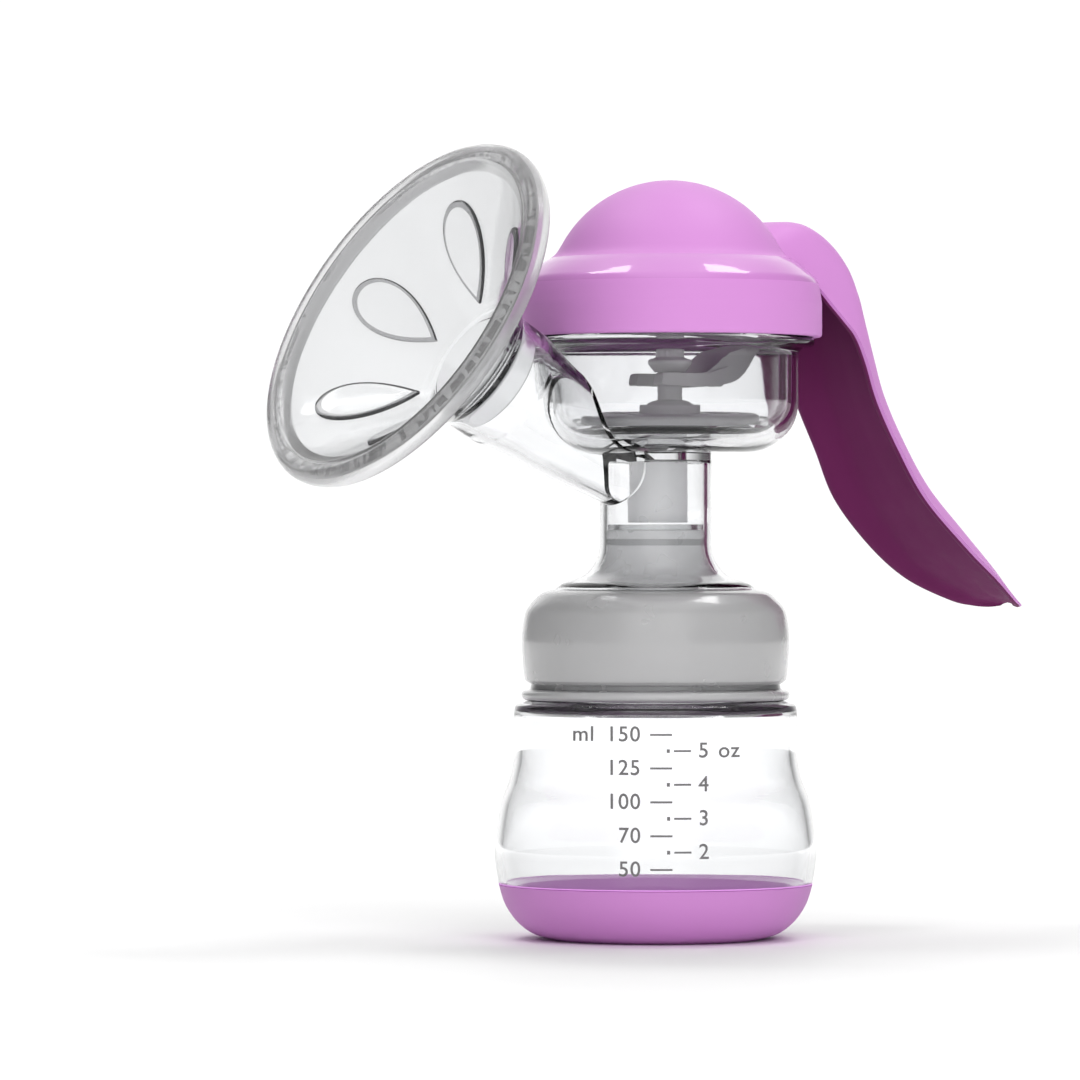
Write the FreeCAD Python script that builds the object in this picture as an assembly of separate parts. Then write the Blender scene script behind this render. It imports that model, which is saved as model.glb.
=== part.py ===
import FreeCAD, Part
import math
import os

# Manual breast pump. Millimetres, +Z up.
# Origin: the bottle's axis at the face that it stands on. +X points to the handle, -X to the funnel,
# and XZ is the mirror plane.

V = FreeCAD.Vector
UP = V(0, 0, 1)

# ---- fits ----------------------------------------------------------------------------------------------
RUN_GAP = 0.05       # radial, pivot pin in the bores that turn on it
MOVE_GAP = 0.3       # between curved faces that move past each other
FIT_GAP = 0.1        # radial, plugged joints that stay together

# ---- bottle and its base -------------------------------------------------------------------------------
BOTTLE_R = 36.5      # widest radius, low on the belly
WAIST_R = BOTTLE_R - 4.6
BELLY_Z = 21.0
WAIST_Z = 46.0
SHOULDER_Z = 53.7
BOTTLE_WALL = 1.8
NECK_R = 25.0
MOUTH_Z = 71.5
MOUTH_BORE_R = NECK_R - 3.0
BASE_RIM_R = BOTTLE_R - 1.0
BASE_RIM_Z = 12.2
BASE_FOOT_R = BASE_RIM_R - 11.5
BASE_WALL = 2.0

# ---- bottle thread -------------------------------------------------------------------------------------
PITCH = 4.5
THREAD_TURNS = 1.25
THREAD_DEPTH = 1.2
THREAD_FOOT = 2.4    # axial width at the root
THREAD_TIP = 1.2     # axial width at the crest
THREAD_Z = 60.5

# ---- adapter -------------------------------------------------------------------------------------------
GASKET_T = 1.8
GASKET_INSET = 1.0
COLLAR_R = NECK_R + 5.35
COLLAR_WALL = 3.75
DECK_T = 3.0
SPIGOT_TOP_Z = 92.4
SPIGOT_WALL = 1.6
SEAL_Z = 89.6        # centre of the O-ring's groove
SEAL_SECTION_R = 0.7

# ---- pump body -----------------------------------------------------------------------------------------
FLARE_R = COLLAR_R - 7.55
FLARE_Z = 78.8
FLARE_H = 10.2
TUBE_R = 12.65       # outer radius of the upright neck
NECK_WALL = 1.55
NECK_TOP_Z = 108.2   # top of the neck's bore
CHAMBER_X = 4.0      # the chamber's axis is off the bottle's by this much
CHAMBER_R = 29.1
CHAMBER_WALL = 2.2
CHAMBER_Z = 109.9    # outer floor
CHAMBER_FLOOR = 2.6
CHAMBER_CORNER = 11.5
RIM_R = CHAMBER_R + 3.7
RIM_Z = 136.0        # top of the flange that the cap stands on
RIM_T = 2.0
SPOUT_R = RIM_R - 1.2   # upstanding ring that the cap slips over
SPOUT_H = 2.2
RISER_X = 0.6
RISER_R = 6.8
RISER_WALL = 1.8
RISER_Z = 94.0

# ---- funnel and cushion --------------------------------------------------------------------------------
FUNNEL_TILT = 30.0   # the funnel's axis above level, in degrees
FUNNEL_REACH = 2 * CHAMBER_R + 23.0 # from the neck's axis to the rim plane, along the funnel's axis
FUNNEL_MEET_Z = 100.7
FUNNEL_HALF_ANGLE = 51.5
FUNNEL_RIM_R = 41.8
FUNNEL_WALL = 1.4
RIM_DEPTH = 2.2      # the hard rim lies this far behind the cushion's face
THROAT_R = 11.0
THROAT_DEPTH = 23.0
CUSHION_WALL = 1.2
CUSHION_GAP = 0.25
CUSHION_LIP_R = 43.65
SLEEVE_WALL = 1.0
SLEEVE_DEPTH = 30.5
MILK_TUBE_WALL = 2.0

# ---- cap -----------------------------------------------------------------------------------------------
CAP_R = RIM_R + 1.7
CAP_WALL = 2.0
CAP_TOP_Z = 171.7
DOME_R = CAP_R - 6.6
DOME_FOOT_Z = 157.0
SLOT_FRONT_X = CHAMBER_X + CHAMBER_R - 10.2
SLOT_Z = 144.5
CLAMP_T = 1.2
CLAMP_INNER_R = SPOUT_R - 4.4

# ---- handle, pivot and lever ---------------------------------------------------------------------------
PIVOT_X = CHAMBER_X + CHAMBER_R - 1.1
PIVOT_Z = 146.0
PIN_R = 2.0
EAR_R = 4.2
EAR_IN = 9.5         # inner face of the cap's ears, from the mirror plane
EAR_T = 2.5
CHEEK_IN = 6.2
CHEEK_T = 3.0
HUB_R = 4.0
HANDLE_W = 32.0
HANDLE_WALL = 2.2
HANDLE_FLARE = 5.5   # each side wall leans out by this much
HANDLE_CORNER = 4.0
HANDLE_SIDE_GAP = 0.7

# ---- diaphragm and stem --------------------------------------------------------------------------------
SILICONE_WALL = 1.5
SILICONE_BEAD = 1.6
DIAPHRAGM_GAP = 0.6
BASE_DISC_R = CHAMBER_R - 6.5
BASE_DISC_Z = 114.2
BASE_DISC_T = 2.0
SUPPORT_DISC_T = 1.6
STEM_R = 2.8
STEM_FOOT_R = 9.0
STEM_FOOT_T = 1.2
BOSS_R = 5.4
BOSS_H = 2.7
LOCK_RING_R = 6.9
LOCK_RING_H = 2.4
FORK_Z = 125.0
FORK_T = 2.9
FORK_TIP_X = -3.0
FORK_W = 13.0
FORK_END_X = CHAMBER_X + 11.0    # closed end of the fork's slot
STEM_HEAD_R = 5.0
STEM_HEAD_H = 1.9
STEM_TOP_Z = 138.5
SCREW_R = 1.5
SCREW_HEAD_R = 2.9
SCREW_Z = 154.6


# ---- helpers -------------------------------------------------------------------------------------------
def face(start, *steps):
    """Face in the XZ plane, read as (radius, height). A step is a point (a straight run), a pair of
    points (an arc through the first to the second) or a list of points (a smooth curve)."""
    def at(point):
        return V(point[0], 0, point[1])

    edges = []
    here = at(start)
    for step in steps:
        if isinstance(step, list):
            curve = Part.BSplineCurve()
            curve.interpolate([here] + [at(point) for point in step])
            edges.append(curve.toShape())
            here = at(step[-1])
        elif isinstance(step[0], tuple):
            edges.append(Part.Arc(here, at(step[0]), at(step[1])).toShape())
            here = at(step[1])
        else:
            edges.append(Part.makeLine(here, at(step)))
            here = at(step)
    if here.distanceToPoint(at(start)) > 1e-6:
        edges.append(Part.makeLine(here, at(start)))
    return Part.Face(Part.Wire(edges))


def turned(section, x=0.0):
    """Full turn of a (radius, height) face about the upright axis at x."""
    solid = section.revolve(V(0, 0, 0), UP, 360)
    solid.translate(V(x, 0, 0))
    return solid


def inset(points, wall):
    """The same open run of points, moved square to itself by wall, to the side of smaller radius."""
    moved = []
    last = len(points) - 1
    for i, (r, z) in enumerate(points):
        before = points[max(i - 1, 0)]
        after = points[min(i + 1, last)]
        dr = after[0] - before[0]
        dz = after[1] - before[1]
        size = math.hypot(dr, dz)
        side = 1 if dz > 0 else -1
        moved.append((r - side * wall * dz / size, z + side * wall * dr / size))
    return moved


def rod(radius, y0, y1, x, z):
    """Round bar along Y."""
    return Part.makeCylinder(radius, y1 - y0, V(x, y0, z), V(0, 1, 0))


def box(x0, x1, y0, y1, z0, z1):
    return Part.makeBox(x1 - x0, y1 - y0, z1 - z0, V(x0, y0, z0))


def plate(section, y0, y1):
    """XZ face thickened along Y from y0 to y1."""
    solid = section.extrude(V(0, y1 - y0, 0))
    solid.translate(V(0, y0, 0))
    return solid


def on_both_sides(make, near, thickness):
    """A solid on each side of the mirror plane."""
    return make(near, near + thickness).fuse(make(-near - thickness, -near))


def on_funnel_axis(solid):
    """Moves a solid made along +Z, with the rim plane at z = 0, onto the funnel's axis."""
    tilt = math.radians(FUNNEL_TILT)
    solid.rotate(V(0, 0, 0), V(0, 1, 0), FUNNEL_TILT - 90)
    solid.translate(V(-FUNNEL_REACH * math.cos(tilt), 0, FUNNEL_MEET_Z + FUNNEL_REACH * math.sin(tilt)))
    return solid


def helical_rib(root_r, tip_r, z):
    """Thread rib of THREAD_TURNS turns. Its root is sunk into the wall that carries it."""
    sunk_r = root_r + (0.4 if tip_r < root_r else -0.4)
    helix = Part.makeHelix(PITCH, PITCH * THREAD_TURNS, sunk_r)
    half_foot = THREAD_FOOT / 2
    half_tip = THREAD_TIP / 2
    corners = [V(sunk_r, 0, -half_foot), V(tip_r, 0, -half_tip),
               V(tip_r, 0, half_tip), V(sunk_r, 0, half_foot)]
    section = Part.makePolygon(corners + corners[:1])
    rib = Part.Wire(helix.Edges).makePipeShell([section], True, True)
    rib.translate(V(0, 0, z))
    return rib


# ---- bottle --------------------------------------------------------------------------------------------
def base_profile():
    """Outer side of the base cup, from the foot up to the rim."""
    width = BASE_RIM_R - BASE_FOOT_R
    return (BASE_FOOT_R, 0.0), (BASE_FOOT_R + 0.63 * width, 0.32 * BASE_RIM_Z), (BASE_RIM_R, BASE_RIM_Z)


def make_base_cup():
    foot, bend, rim = base_profile()
    inner_rim = (rim[0] - BASE_WALL, rim[1])
    inner_bend = (bend[0] - 0.7 * BASE_WALL, bend[1] + 0.7 * BASE_WALL)
    section = face((0, 0), foot, (bend, rim), inner_rim, (inner_bend, (foot[0], BASE_WALL)), (0, BASE_WALL))
    return turned(section)


def bottle_side():
    """Outer side of the bottle above the base cup."""
    rise = BELLY_Z - BASE_RIM_Z
    fall = WAIST_Z - BELLY_Z
    bulge = BOTTLE_R - WAIST_R
    return [
        (BASE_RIM_R, BASE_RIM_Z),
        (BOTTLE_R - 0.3, BASE_RIM_Z + 0.45 * rise),
        (BOTTLE_R, BELLY_Z),
        (WAIST_R + 0.70 * bulge, BELLY_Z + 0.38 * fall),
        (WAIST_R + 0.28 * bulge, BELLY_Z + 0.60 * fall),
        (WAIST_R + 0.04 * bulge, BELLY_Z + 0.84 * fall),
        (WAIST_R + 0.2, SHOULDER_Z - 3.0),
    ]


def make_bottle():
    foot, bend, rim = base_profile()
    seat = BASE_WALL + FIT_GAP
    low = [(foot[0], seat), (bend[0] - 0.75 * seat, bend[1] + 0.75 * seat), (rim[0] - seat, rim[1])]
    side = bottle_side()
    inner_low = inset(low, BOTTLE_WALL)
    inner_side = inset(side, BOTTLE_WALL)
    neck_in = MOUTH_BORE_R
    shoulder_r = side[-1][0]
    section = face(
        (0, seat), low[0], (low[1], low[2]), side[0], side[1:],
        ((shoulder_r - 0.5, SHOULDER_Z - 0.8), (shoulder_r - 2.6, SHOULDER_Z)),
        (NECK_R, SHOULDER_Z), (NECK_R, MOUTH_Z), (neck_in, MOUTH_Z), (neck_in, SHOULDER_Z - 0.4),
        ((neck_in + 0.8, SHOULDER_Z - BOTTLE_WALL), (neck_in + 2.4, SHOULDER_Z - BOTTLE_WALL - 0.4)),
        inner_side[-1], inner_side[-2:0:-1], (inner_low[2][0], BASE_RIM_Z + 0.6),
        (inner_low[1], (foot[0] - 1.0, seat + BOTTLE_WALL)), (0, seat + BOTTLE_WALL))
    crest_r = NECK_R + THREAD_DEPTH
    return turned(section).fuse(helical_rib(NECK_R, crest_r, THREAD_Z))


# ---- adapter, valve and seals --------------------------------------------------------------------------
DECK_Z = MOUTH_Z + GASKET_T               # underside of the adapter's deck
DECK_TOP_Z = DECK_Z + DECK_T              # the pump body's flare stands here
COLLAR_BORE_R = COLLAR_R - COLLAR_WALL
NECK_BORE_R = TUBE_R - NECK_WALL
SPIGOT_R = NECK_BORE_R - FIT_GAP
SPIGOT_BORE_R = SPIGOT_R - SPIGOT_WALL


def flare_side():
    """Outer side of the pump body's flare, from its edge up to the straight neck."""
    spread = FLARE_R - TUBE_R
    shares = ((1.0, 0.0), (0.85, 0.14), (0.39, 0.31), (0.19, 0.49), (0.08, 0.67), (0.02, 0.84), (0.0, 1.0))
    return [(TUBE_R + share * spread, FLARE_Z + height * FLARE_H) for share, height in shares]


def make_sealing_gasket():
    section = face((MOUTH_BORE_R - GASKET_INSET, MOUTH_Z), (NECK_R + 0.8, MOUTH_Z),
                   (NECK_R + 0.8, DECK_Z), (MOUTH_BORE_R - GASKET_INSET, DECK_Z))
    return turned(section)


def make_bottle_adapter():
    low = SHOULDER_Z + MOVE_GAP
    bead_r = COLLAR_R + 0.15
    groove_r = COLLAR_R - 2.3
    spigot_root = inset(flare_side(), NECK_WALL + FIT_GAP + 0.1)[1:-1]
    section = face(
        (COLLAR_BORE_R, low), (bead_r - 0.6, low), ((bead_r, low + 1.1), (bead_r - 0.6, low + 2.2)),
        (groove_r, low + 2.5), (groove_r, low + 3.3),
        [(COLLAR_R - 0.8, low + 4.4), (COLLAR_R - 0.3, low + 6.5), (COLLAR_R, low + 13.5),
         (COLLAR_R - 0.65, low + 19.2), (COLLAR_R - 1.3, low + 20.8), (COLLAR_R - 2.8, FLARE_Z - 2.0)],
        [(FLARE_R + 2.2, FLARE_Z - 0.7), (FLARE_R + 0.2, FLARE_Z)],
        (FLARE_R + 0.2, DECK_TOP_Z), (spigot_root[0][0], DECK_TOP_Z), spigot_root[0], spigot_root[1:],
        (SPIGOT_R, FLARE_Z + FLARE_H), (SPIGOT_R, SPIGOT_TOP_Z), (SPIGOT_BORE_R, SPIGOT_TOP_Z),
        (SPIGOT_BORE_R, DECK_Z), (COLLAR_BORE_R, DECK_Z))
    collar = turned(section)
    rib = helical_rib(COLLAR_BORE_R, COLLAR_BORE_R - THREAD_DEPTH, THREAD_Z + PITCH / 2)
    groove = Part.makeTorus(SPIGOT_R, SEAL_SECTION_R, V(0, 0, SEAL_Z), UP)
    return collar.fuse(rib).cut(groove)


def make_spigot_seal():
    ring = Part.makeTorus(SPIGOT_R, SEAL_SECTION_R, V(0, 0, SEAL_Z), UP)
    return ring.common(Part.makeCylinder(NECK_BORE_R, 8, V(0, 0, SEAL_Z - 4)))


def make_duckbill_valve():
    ring_r = SPIGOT_BORE_R - FIT_GAP
    skirt_z = 83.0
    lip_z = 69.0
    wall = 1.0

    def lips(radius, half_lip, z_top, z_low):
        circle = Part.Wire(Part.makeCircle(radius, V(0, 0, z_top)))
        slit = Part.Wire(Part.Ellipse(V(0, 0, z_low), radius * 0.8, half_lip).toShape())
        return Part.makeLoft([circle, slit], True)

    body = lips(ring_r, wall + 0.15, skirt_z, lip_z)
    ring = Part.makeCylinder(ring_r, 6.0, V(0, 0, skirt_z))
    hollow = lips(ring_r - wall, 0.2, skirt_z, lip_z - 0.01)
    bore = Part.makeCylinder(ring_r - wall, 6.0, V(0, 0, skirt_z))
    flange = turned(face((ring_r - wall, SPIGOT_TOP_Z), (SPIGOT_R - 0.2, SPIGOT_TOP_Z),
                         (SPIGOT_R - 0.2, SPIGOT_TOP_Z + 1.2), (ring_r - wall, SPIGOT_TOP_Z + 1.2)))
    sleeve = turned(face((ring_r - wall, skirt_z), (ring_r, skirt_z), (ring_r, SPIGOT_TOP_Z),
                         (ring_r - wall, SPIGOT_TOP_Z)))
    return body.fuse(ring).cut(hollow).cut(bore).fuse(sleeve).fuse(flange)


# ---- pump body and cushion -----------------------------------------------------------------------------
SPOUT_TOP_Z = RIM_Z + SPOUT_H
CHAMBER_IN_R = CHAMBER_R - CHAMBER_WALL
SLEEVE_R = THROAT_R + SLEEVE_WALL
MILK_BORE_R = SLEEVE_R + CUSHION_GAP
CONE = math.tan(math.radians(FUNNEL_HALF_ANGLE))
CONE_COS = math.cos(math.radians(FUNNEL_HALF_ANGLE))


def cone_r(depth, thickness):
    """Radius at a depth of the cone that lies thickness outside the cushion's inner face."""
    return THROAT_R + CONE * (THROAT_DEPTH - depth) + thickness / CONE_COS


def cone_depth(radius, thickness):
    return THROAT_DEPTH + (THROAT_R + thickness / CONE_COS - radius) / CONE


def milk_tube(inward, end_depth):
    """Side of the slanted tube from the throat to the neck, thinner by inward, as (radius, -depth)."""
    start_r = MILK_BORE_R + MILK_TUBE_WALL
    span = FUNNEL_REACH - SLEEVE_DEPTH
    shares = ((1.0, 0.08), (0.88, 0.26), (0.81, 0.46), (0.62, 0.79), (0.56, end_depth))
    return [(start_r * share - inward, -(SLEEVE_DEPTH + depth * span)) for share, depth in shares]


def chamber_outer():
    r = CHAMBER_R
    low = CHAMBER_Z
    corner = CHAMBER_CORNER
    bend = corner * (1 - math.sqrt(0.5))
    section = face(
        (0, low), (r - corner, low), ((r - bend, low + bend), (r, low + corner)), (r, RIM_Z - RIM_T - 3.5),
        ((r + 1.1, RIM_Z - RIM_T - 1.0), (RIM_R - 0.4, RIM_Z - RIM_T)),
        ((RIM_R, RIM_Z - RIM_T / 2), (RIM_R - 0.4, RIM_Z)), (SPOUT_R, RIM_Z), (SPOUT_R, SPOUT_TOP_Z),
        (0, SPOUT_TOP_Z))
    return turned(section, CHAMBER_X)


def chamber_inner():
    r = CHAMBER_IN_R
    low = CHAMBER_Z + CHAMBER_FLOOR
    corner = CHAMBER_CORNER - CHAMBER_WALL
    bend = corner * (1 - math.sqrt(0.5))
    section = face((0, low), (r - corner, low), ((r - bend, low + bend), (r, low + corner)),
                   (r, SPOUT_TOP_Z + 1), (0, SPOUT_TOP_Z + 1))
    return turned(section, CHAMBER_X)


def make_pump_body():
    flare = flare_side()
    flare_in = inset(flare, NECK_WALL)
    neck = turned(face((0, DECK_TOP_Z), (FLARE_R, DECK_TOP_Z), flare[0], flare[1:],
                       (TUBE_R, CHAMBER_Z + 1), (0, CHAMBER_Z + 1)))
    neck_bore = turned(face((0, DECK_TOP_Z), (flare_in[1][0], DECK_TOP_Z), flare_in[1], flare_in[2:],
                            (NECK_BORE_R, NECK_TOP_Z), (0, NECK_TOP_Z)))
    outside = FUNNEL_WALL + CUSHION_WALL + CUSHION_GAP
    inside = CUSHION_WALL + CUSHION_GAP
    tube_r = MILK_BORE_R + MILK_TUBE_WALL
    rim_back = cone_depth(FUNNEL_RIM_R, outside)
    tube_side = milk_tube(0, 0.96)
    funnel = turned(face(
        (0, -RIM_DEPTH), (FUNNEL_RIM_R, -RIM_DEPTH), (FUNNEL_RIM_R, -max(rim_back, RIM_DEPTH + 0.8)),
        (cone_r(rim_back + 3, outside), -(rim_back + 3)),
        (tube_r + 1.4, -cone_depth(tube_r + 1.4, outside)),
        ((tube_r + 0.3, -cone_depth(tube_r, outside) - 0.2), (tube_r, -cone_depth(tube_r, outside) - 2.2)),
        tube_side[0], tube_side[1:], (0, tube_side[-1][1])))
    bore_side = milk_tube(MILK_TUBE_WALL, 0.94)
    funnel_bore = turned(face(
        (0, 1), (cone_r(RIM_DEPTH, inside) + CONE * (RIM_DEPTH + 1), 1),
        (MILK_BORE_R, -cone_depth(MILK_BORE_R, inside)),
        bore_side[0], bore_side[1:], (0, bore_side[-1][1])))
    on_funnel_axis(funnel)
    on_funnel_axis(funnel_bore)
    chamber = chamber_outer()
    riser = Part.makeCylinder(RISER_R, CHAMBER_Z + 1 - RISER_Z, V(RISER_X, 0, RISER_Z))
    riser_bore = Part.makeCylinder(RISER_R - RISER_WALL, CHAMBER_Z + 10 - RISER_Z,
                                   V(RISER_X, 0, RISER_Z - 1))
    body = neck.fuse([chamber, funnel])
    body = body.cut(neck_bore).cut(funnel_bore.cut(chamber)).cut(chamber_inner())
    return body.fuse(riser).cut(riser_bore)


def make_massage_cushion():
    lip_in = FUNNEL_RIM_R + MOVE_GAP + 0.05
    face_r = cone_r(2.75, 0)
    out_r = SLEEVE_R
    section = face(
        (face_r, -2.75),
        [(face_r + 1.2, -1.4), (face_r + 2.9, -0.25), (face_r + 4.6, 0)],
        [(CUSHION_LIP_R - 0.7, -0.7), (CUSHION_LIP_R, -2.4), (CUSHION_LIP_R - 0.25, -4.2)],
        (CUSHION_LIP_R - 0.6, -5.0), (lip_in, -5.0), (lip_in, -RIM_DEPTH),
        (cone_r(RIM_DEPTH, CUSHION_WALL), -RIM_DEPTH),
        (out_r, -cone_depth(out_r, CUSHION_WALL)), (out_r, -SLEEVE_DEPTH), (THROAT_R, -SLEEVE_DEPTH),
        (THROAT_R, -THROAT_DEPTH))
    return on_funnel_axis(turned(section))


# ---- cap -----------------------------------------------------------------------------------------------
DOME_CENTRE_Z = CAP_TOP_Z - DOME_R
BEAD_TOP_Z = SPOUT_TOP_Z + SILICONE_BEAD
CLAMP_TOP_Z = BEAD_TOP_Z + CLAMP_T
CAP_FOOT_Z = RIM_Z + 0.1


def dome_cut_r(radius, z):
    """Radius of a sphere about the dome's centre, at height z."""
    return math.sqrt(radius ** 2 - (z - DOME_CENTRE_Z) ** 2)


def shoulder(wall):
    """Side of the cap's shoulder from the skirt up to the foot of the dome, thinner by wall."""
    foot_r = dome_cut_r(DOME_R, DOME_FOOT_Z)
    side = [(CAP_R, 144.0), (CAP_R - 0.5, 146.8), (CAP_R - 1.2, 148.9), (CAP_R - 2.6, 150.5),
            (CAP_R - 5.3, 152.8), (CAP_R - 8.3, 154.6), (foot_r, DOME_FOOT_Z)]
    return inset(side, wall) if wall else side


def cap_solid(wall):
    side = shoulder(wall)
    radius = DOME_R - wall
    foot_r, foot_z = side[-1]
    foot_z = min(foot_z, DOME_FOOT_Z)
    foot_r = dome_cut_r(radius, foot_z)
    half = math.atan2(foot_z - DOME_CENTRE_Z, foot_r) / 2 + math.pi / 4
    crown = (radius * math.cos(half), DOME_CENTRE_Z + radius * math.sin(half))
    low = CAP_FOOT_Z if not wall else CAP_FOOT_Z - 1
    section = face((0, low), (side[0][0], low), side[0], side[1:-1] + [(foot_r, foot_z)],
                   (crown, (0, DOME_CENTRE_Z + radius)))
    return turned(section, CHAMBER_X)


def make_dome_cap():
    shell = cap_solid(0).cut(cap_solid(CAP_WALL))
    half_slot = HANDLE_W / 2 + HANDLE_SIDE_GAP
    slot = box(SLOT_FRONT_X, CHAMBER_X + CAP_R + 5, -half_slot, half_slot, SLOT_Z, CAP_TOP_Z)
    relief = box(PIVOT_X, CHAMBER_X + CAP_R + 5, -EAR_IN, EAR_IN, CLAMP_TOP_Z, SLOT_Z + 1)
    clamp = turned(face((CLAMP_INNER_R, BEAD_TOP_Z), (CAP_R - CAP_WALL / 2, BEAD_TOP_Z),
                        (CAP_R - CAP_WALL / 2, CLAMP_TOP_Z), (CLAMP_INNER_R, CLAMP_TOP_Z)), CHAMBER_X)
    keep_in = Part.makeCylinder(CAP_R - CAP_WALL / 2, 60, V(CHAMBER_X, 0, BEAD_TOP_Z))

    def ear(y0, y1):
        web = box(PIVOT_X - EAR_R, CHAMBER_X + CAP_R, y0, y1, BEAD_TOP_Z, PIVOT_Z)
        return web.fuse(rod(EAR_R, y0, y1, PIVOT_X, PIVOT_Z)).common(keep_in)

    ears = on_both_sides(ear, EAR_IN, EAR_T)
    pin_hole = rod(PIN_R, -CAP_R, CAP_R, PIVOT_X, PIVOT_Z)
    return shell.cut(slot).cut(relief).fuse([clamp, ears]).cut(pin_hole.common(keep_in))


def make_pivot_pin():
    half = EAR_IN + EAR_T
    return rod(PIN_R, -half, half, PIVOT_X, PIVOT_Z)


# ---- handle --------------------------------------------------------------------------------------------
# Each station is (back x, back z, edge x, edge z, width), from the pivot: the outer back of the handle
# in the mirror plane, the free edge of its side walls, and the width across those edges.
HANDLE_STATIONS = (
    (-7.5, 14.9, -8.0, 7.0, HANDLE_W - 1.0),
    (-1.5, 16.6, -3.5, 4.5, HANDLE_W),
    (4.5, 16.2, 0.8, 2.6, HANDLE_W),
    (10.5, 13.0, 3.3, 0.8, HANDLE_W),
    (15.6, 7.9, 6.6, -2.4, HANDLE_W),
    (18.9, 1.5, 10.2, -5.8, HANDLE_W),
    (21.1, -6.0, 13.6, -9.4, HANDLE_W),
    (23.0, -13.5, 16.4, -15.0, HANDLE_W),
    (26.0, -22.5, 19.9, -24.2, HANDLE_W),
    (31.1, -32.6, 25.6, -34.8, HANDLE_W + 0.8),
    (37.3, -43.1, 32.3, -46.1, HANDLE_W + 3.6),
    (46.7, -53.4, 43.2, -56.9, HANDLE_W + 5.4),
    (55.5, -61.5, 53.3, -64.6, HANDLE_W + 3.5),
    (63.8, -67.0, 62.4, -69.6, HANDLE_W - 6.0),
    (70.6, -70.6, 70.0, -71.8, HANDLE_W - 22.0),
)


def channel_wire(station, wall):
    """Closed section of the handle: flat back, rounded corners and side walls that lean out. With a
    wall it is the hollow inside the shell, which runs out past the free edges."""
    back_x, back_z, edge_x, edge_z, width = station
    depth = math.hypot(edge_x - back_x, edge_z - back_z)
    along = V((edge_x - back_x) / depth, 0, (edge_z - back_z) / depth)
    origin = V(back_x, 0, back_z)
    lean = min(HANDLE_FLARE, 0.22 * width)
    top = width / 2 - lean
    corner = min(HANDLE_CORNER, 0.45 * depth, 0.5 * top)
    side_len = math.hypot(lean, depth)
    near = wall
    far = depth + (1.0 if wall else 0.0)
    slope = lean / depth

    def half_width(d):
        return top + slope * d - wall * side_len / depth

    def at(y, d):
        return origin + along * d + V(0, y, 0)

    def bend(side):
        start = at(side * (half_width(near) - corner), near)
        end = at(side * half_width(near + corner), near + corner)
        middle = at(side * (half_width(near + 0.3 * corner) - 0.3 * corner), near + 0.3 * corner)
        return start, middle, end

    left = bend(-1)
    right = bend(1)
    edges = [
        Part.makeLine(left[0], right[0]),
        Part.Arc(*right).toShape(),
        Part.makeLine(right[2], at(half_width(far), far)),
        Part.makeLine(at(half_width(far), far), at(-half_width(far), far)),
        Part.makeLine(at(-half_width(far), far), left[2]),
        Part.Arc(left[2], left[1], left[0]).toShape(),
    ]
    return Part.Wire(edges)


def in_between(stations, steps):
    """Smooth run of stations through the given ones, with steps to each gap (Catmull-Rom)."""
    run = []
    last = len(stations) - 1
    for i in range(last):
        p0, p1, p2, p3 = (stations[min(max(k, 0), last)] for k in range(i - 1, i + 3))
        for step in range(steps):
            t = step / steps
            run.append(tuple(
                b + 0.5 * t * (c - a + t * (2 * a - 5 * b + 4 * c - d + t * (3 * (b - c) + d - a)))
                for a, b, c, d in zip(p0, p1, p2, p3)))
    return run + [stations[last]]


def make_handle():
    stations = in_between([(PIVOT_X + bx, PIVOT_Z + bz, PIVOT_X + ex, PIVOT_Z + ez, w)
                           for bx, bz, ex, ez, w in HANDLE_STATIONS], 2)
    shell = Part.makeLoft([channel_wire(station, 0) for station in stations], True, True)
    hollow = Part.makeLoft([channel_wire(station, HANDLE_WALL) for station in stations[:-2]], True, True)
    top_z = PIVOT_Z + HANDLE_STATIONS[1][1] - HANDLE_WALL / 2
    web = face((PIVOT_X - EAR_R, PIVOT_Z), (PIVOT_X + EAR_R, PIVOT_Z), (PIVOT_X + 6.0, top_z - 3.0),
               (PIVOT_X + 5.0, top_z), (PIVOT_X - EAR_R, top_z))

    def cheek(y0, y1):
        return plate(web, y0, y1).fuse(rod(EAR_R, y0, y1, PIVOT_X, PIVOT_Z))

    cheeks = on_both_sides(cheek, CHEEK_IN, CHEEK_T)
    bridge = box(PIVOT_X + 3.2, PIVOT_X + 6.0, -CHEEK_IN - 0.5, CHEEK_IN + 0.5, PIVOT_Z + 5.5, top_z)
    bore = rod(PIN_R + RUN_GAP, -CHEEK_IN - CHEEK_T, CHEEK_IN + CHEEK_T, PIVOT_X, PIVOT_Z)
    screw_hole = Part.makeCylinder(SCREW_R, 5, V(PIVOT_X + 3.0, 0, SCREW_Z), V(1, 0, 0))
    return shell.cut(hollow).fuse([cheeks, bridge]).cut(bore).cut(screw_hole)


# ---- lever arm, stem and diaphragm ---------------------------------------------------------------------
DISC_TOP_Z = BASE_DISC_Z + BASE_DISC_T
SUPPORT_TOP_Z = DISC_TOP_Z + SUPPORT_DISC_T
FORK_TOP_Z = FORK_Z + FORK_T
STEM_HEAD_Z = FORK_TOP_Z + MOVE_GAP


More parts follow.
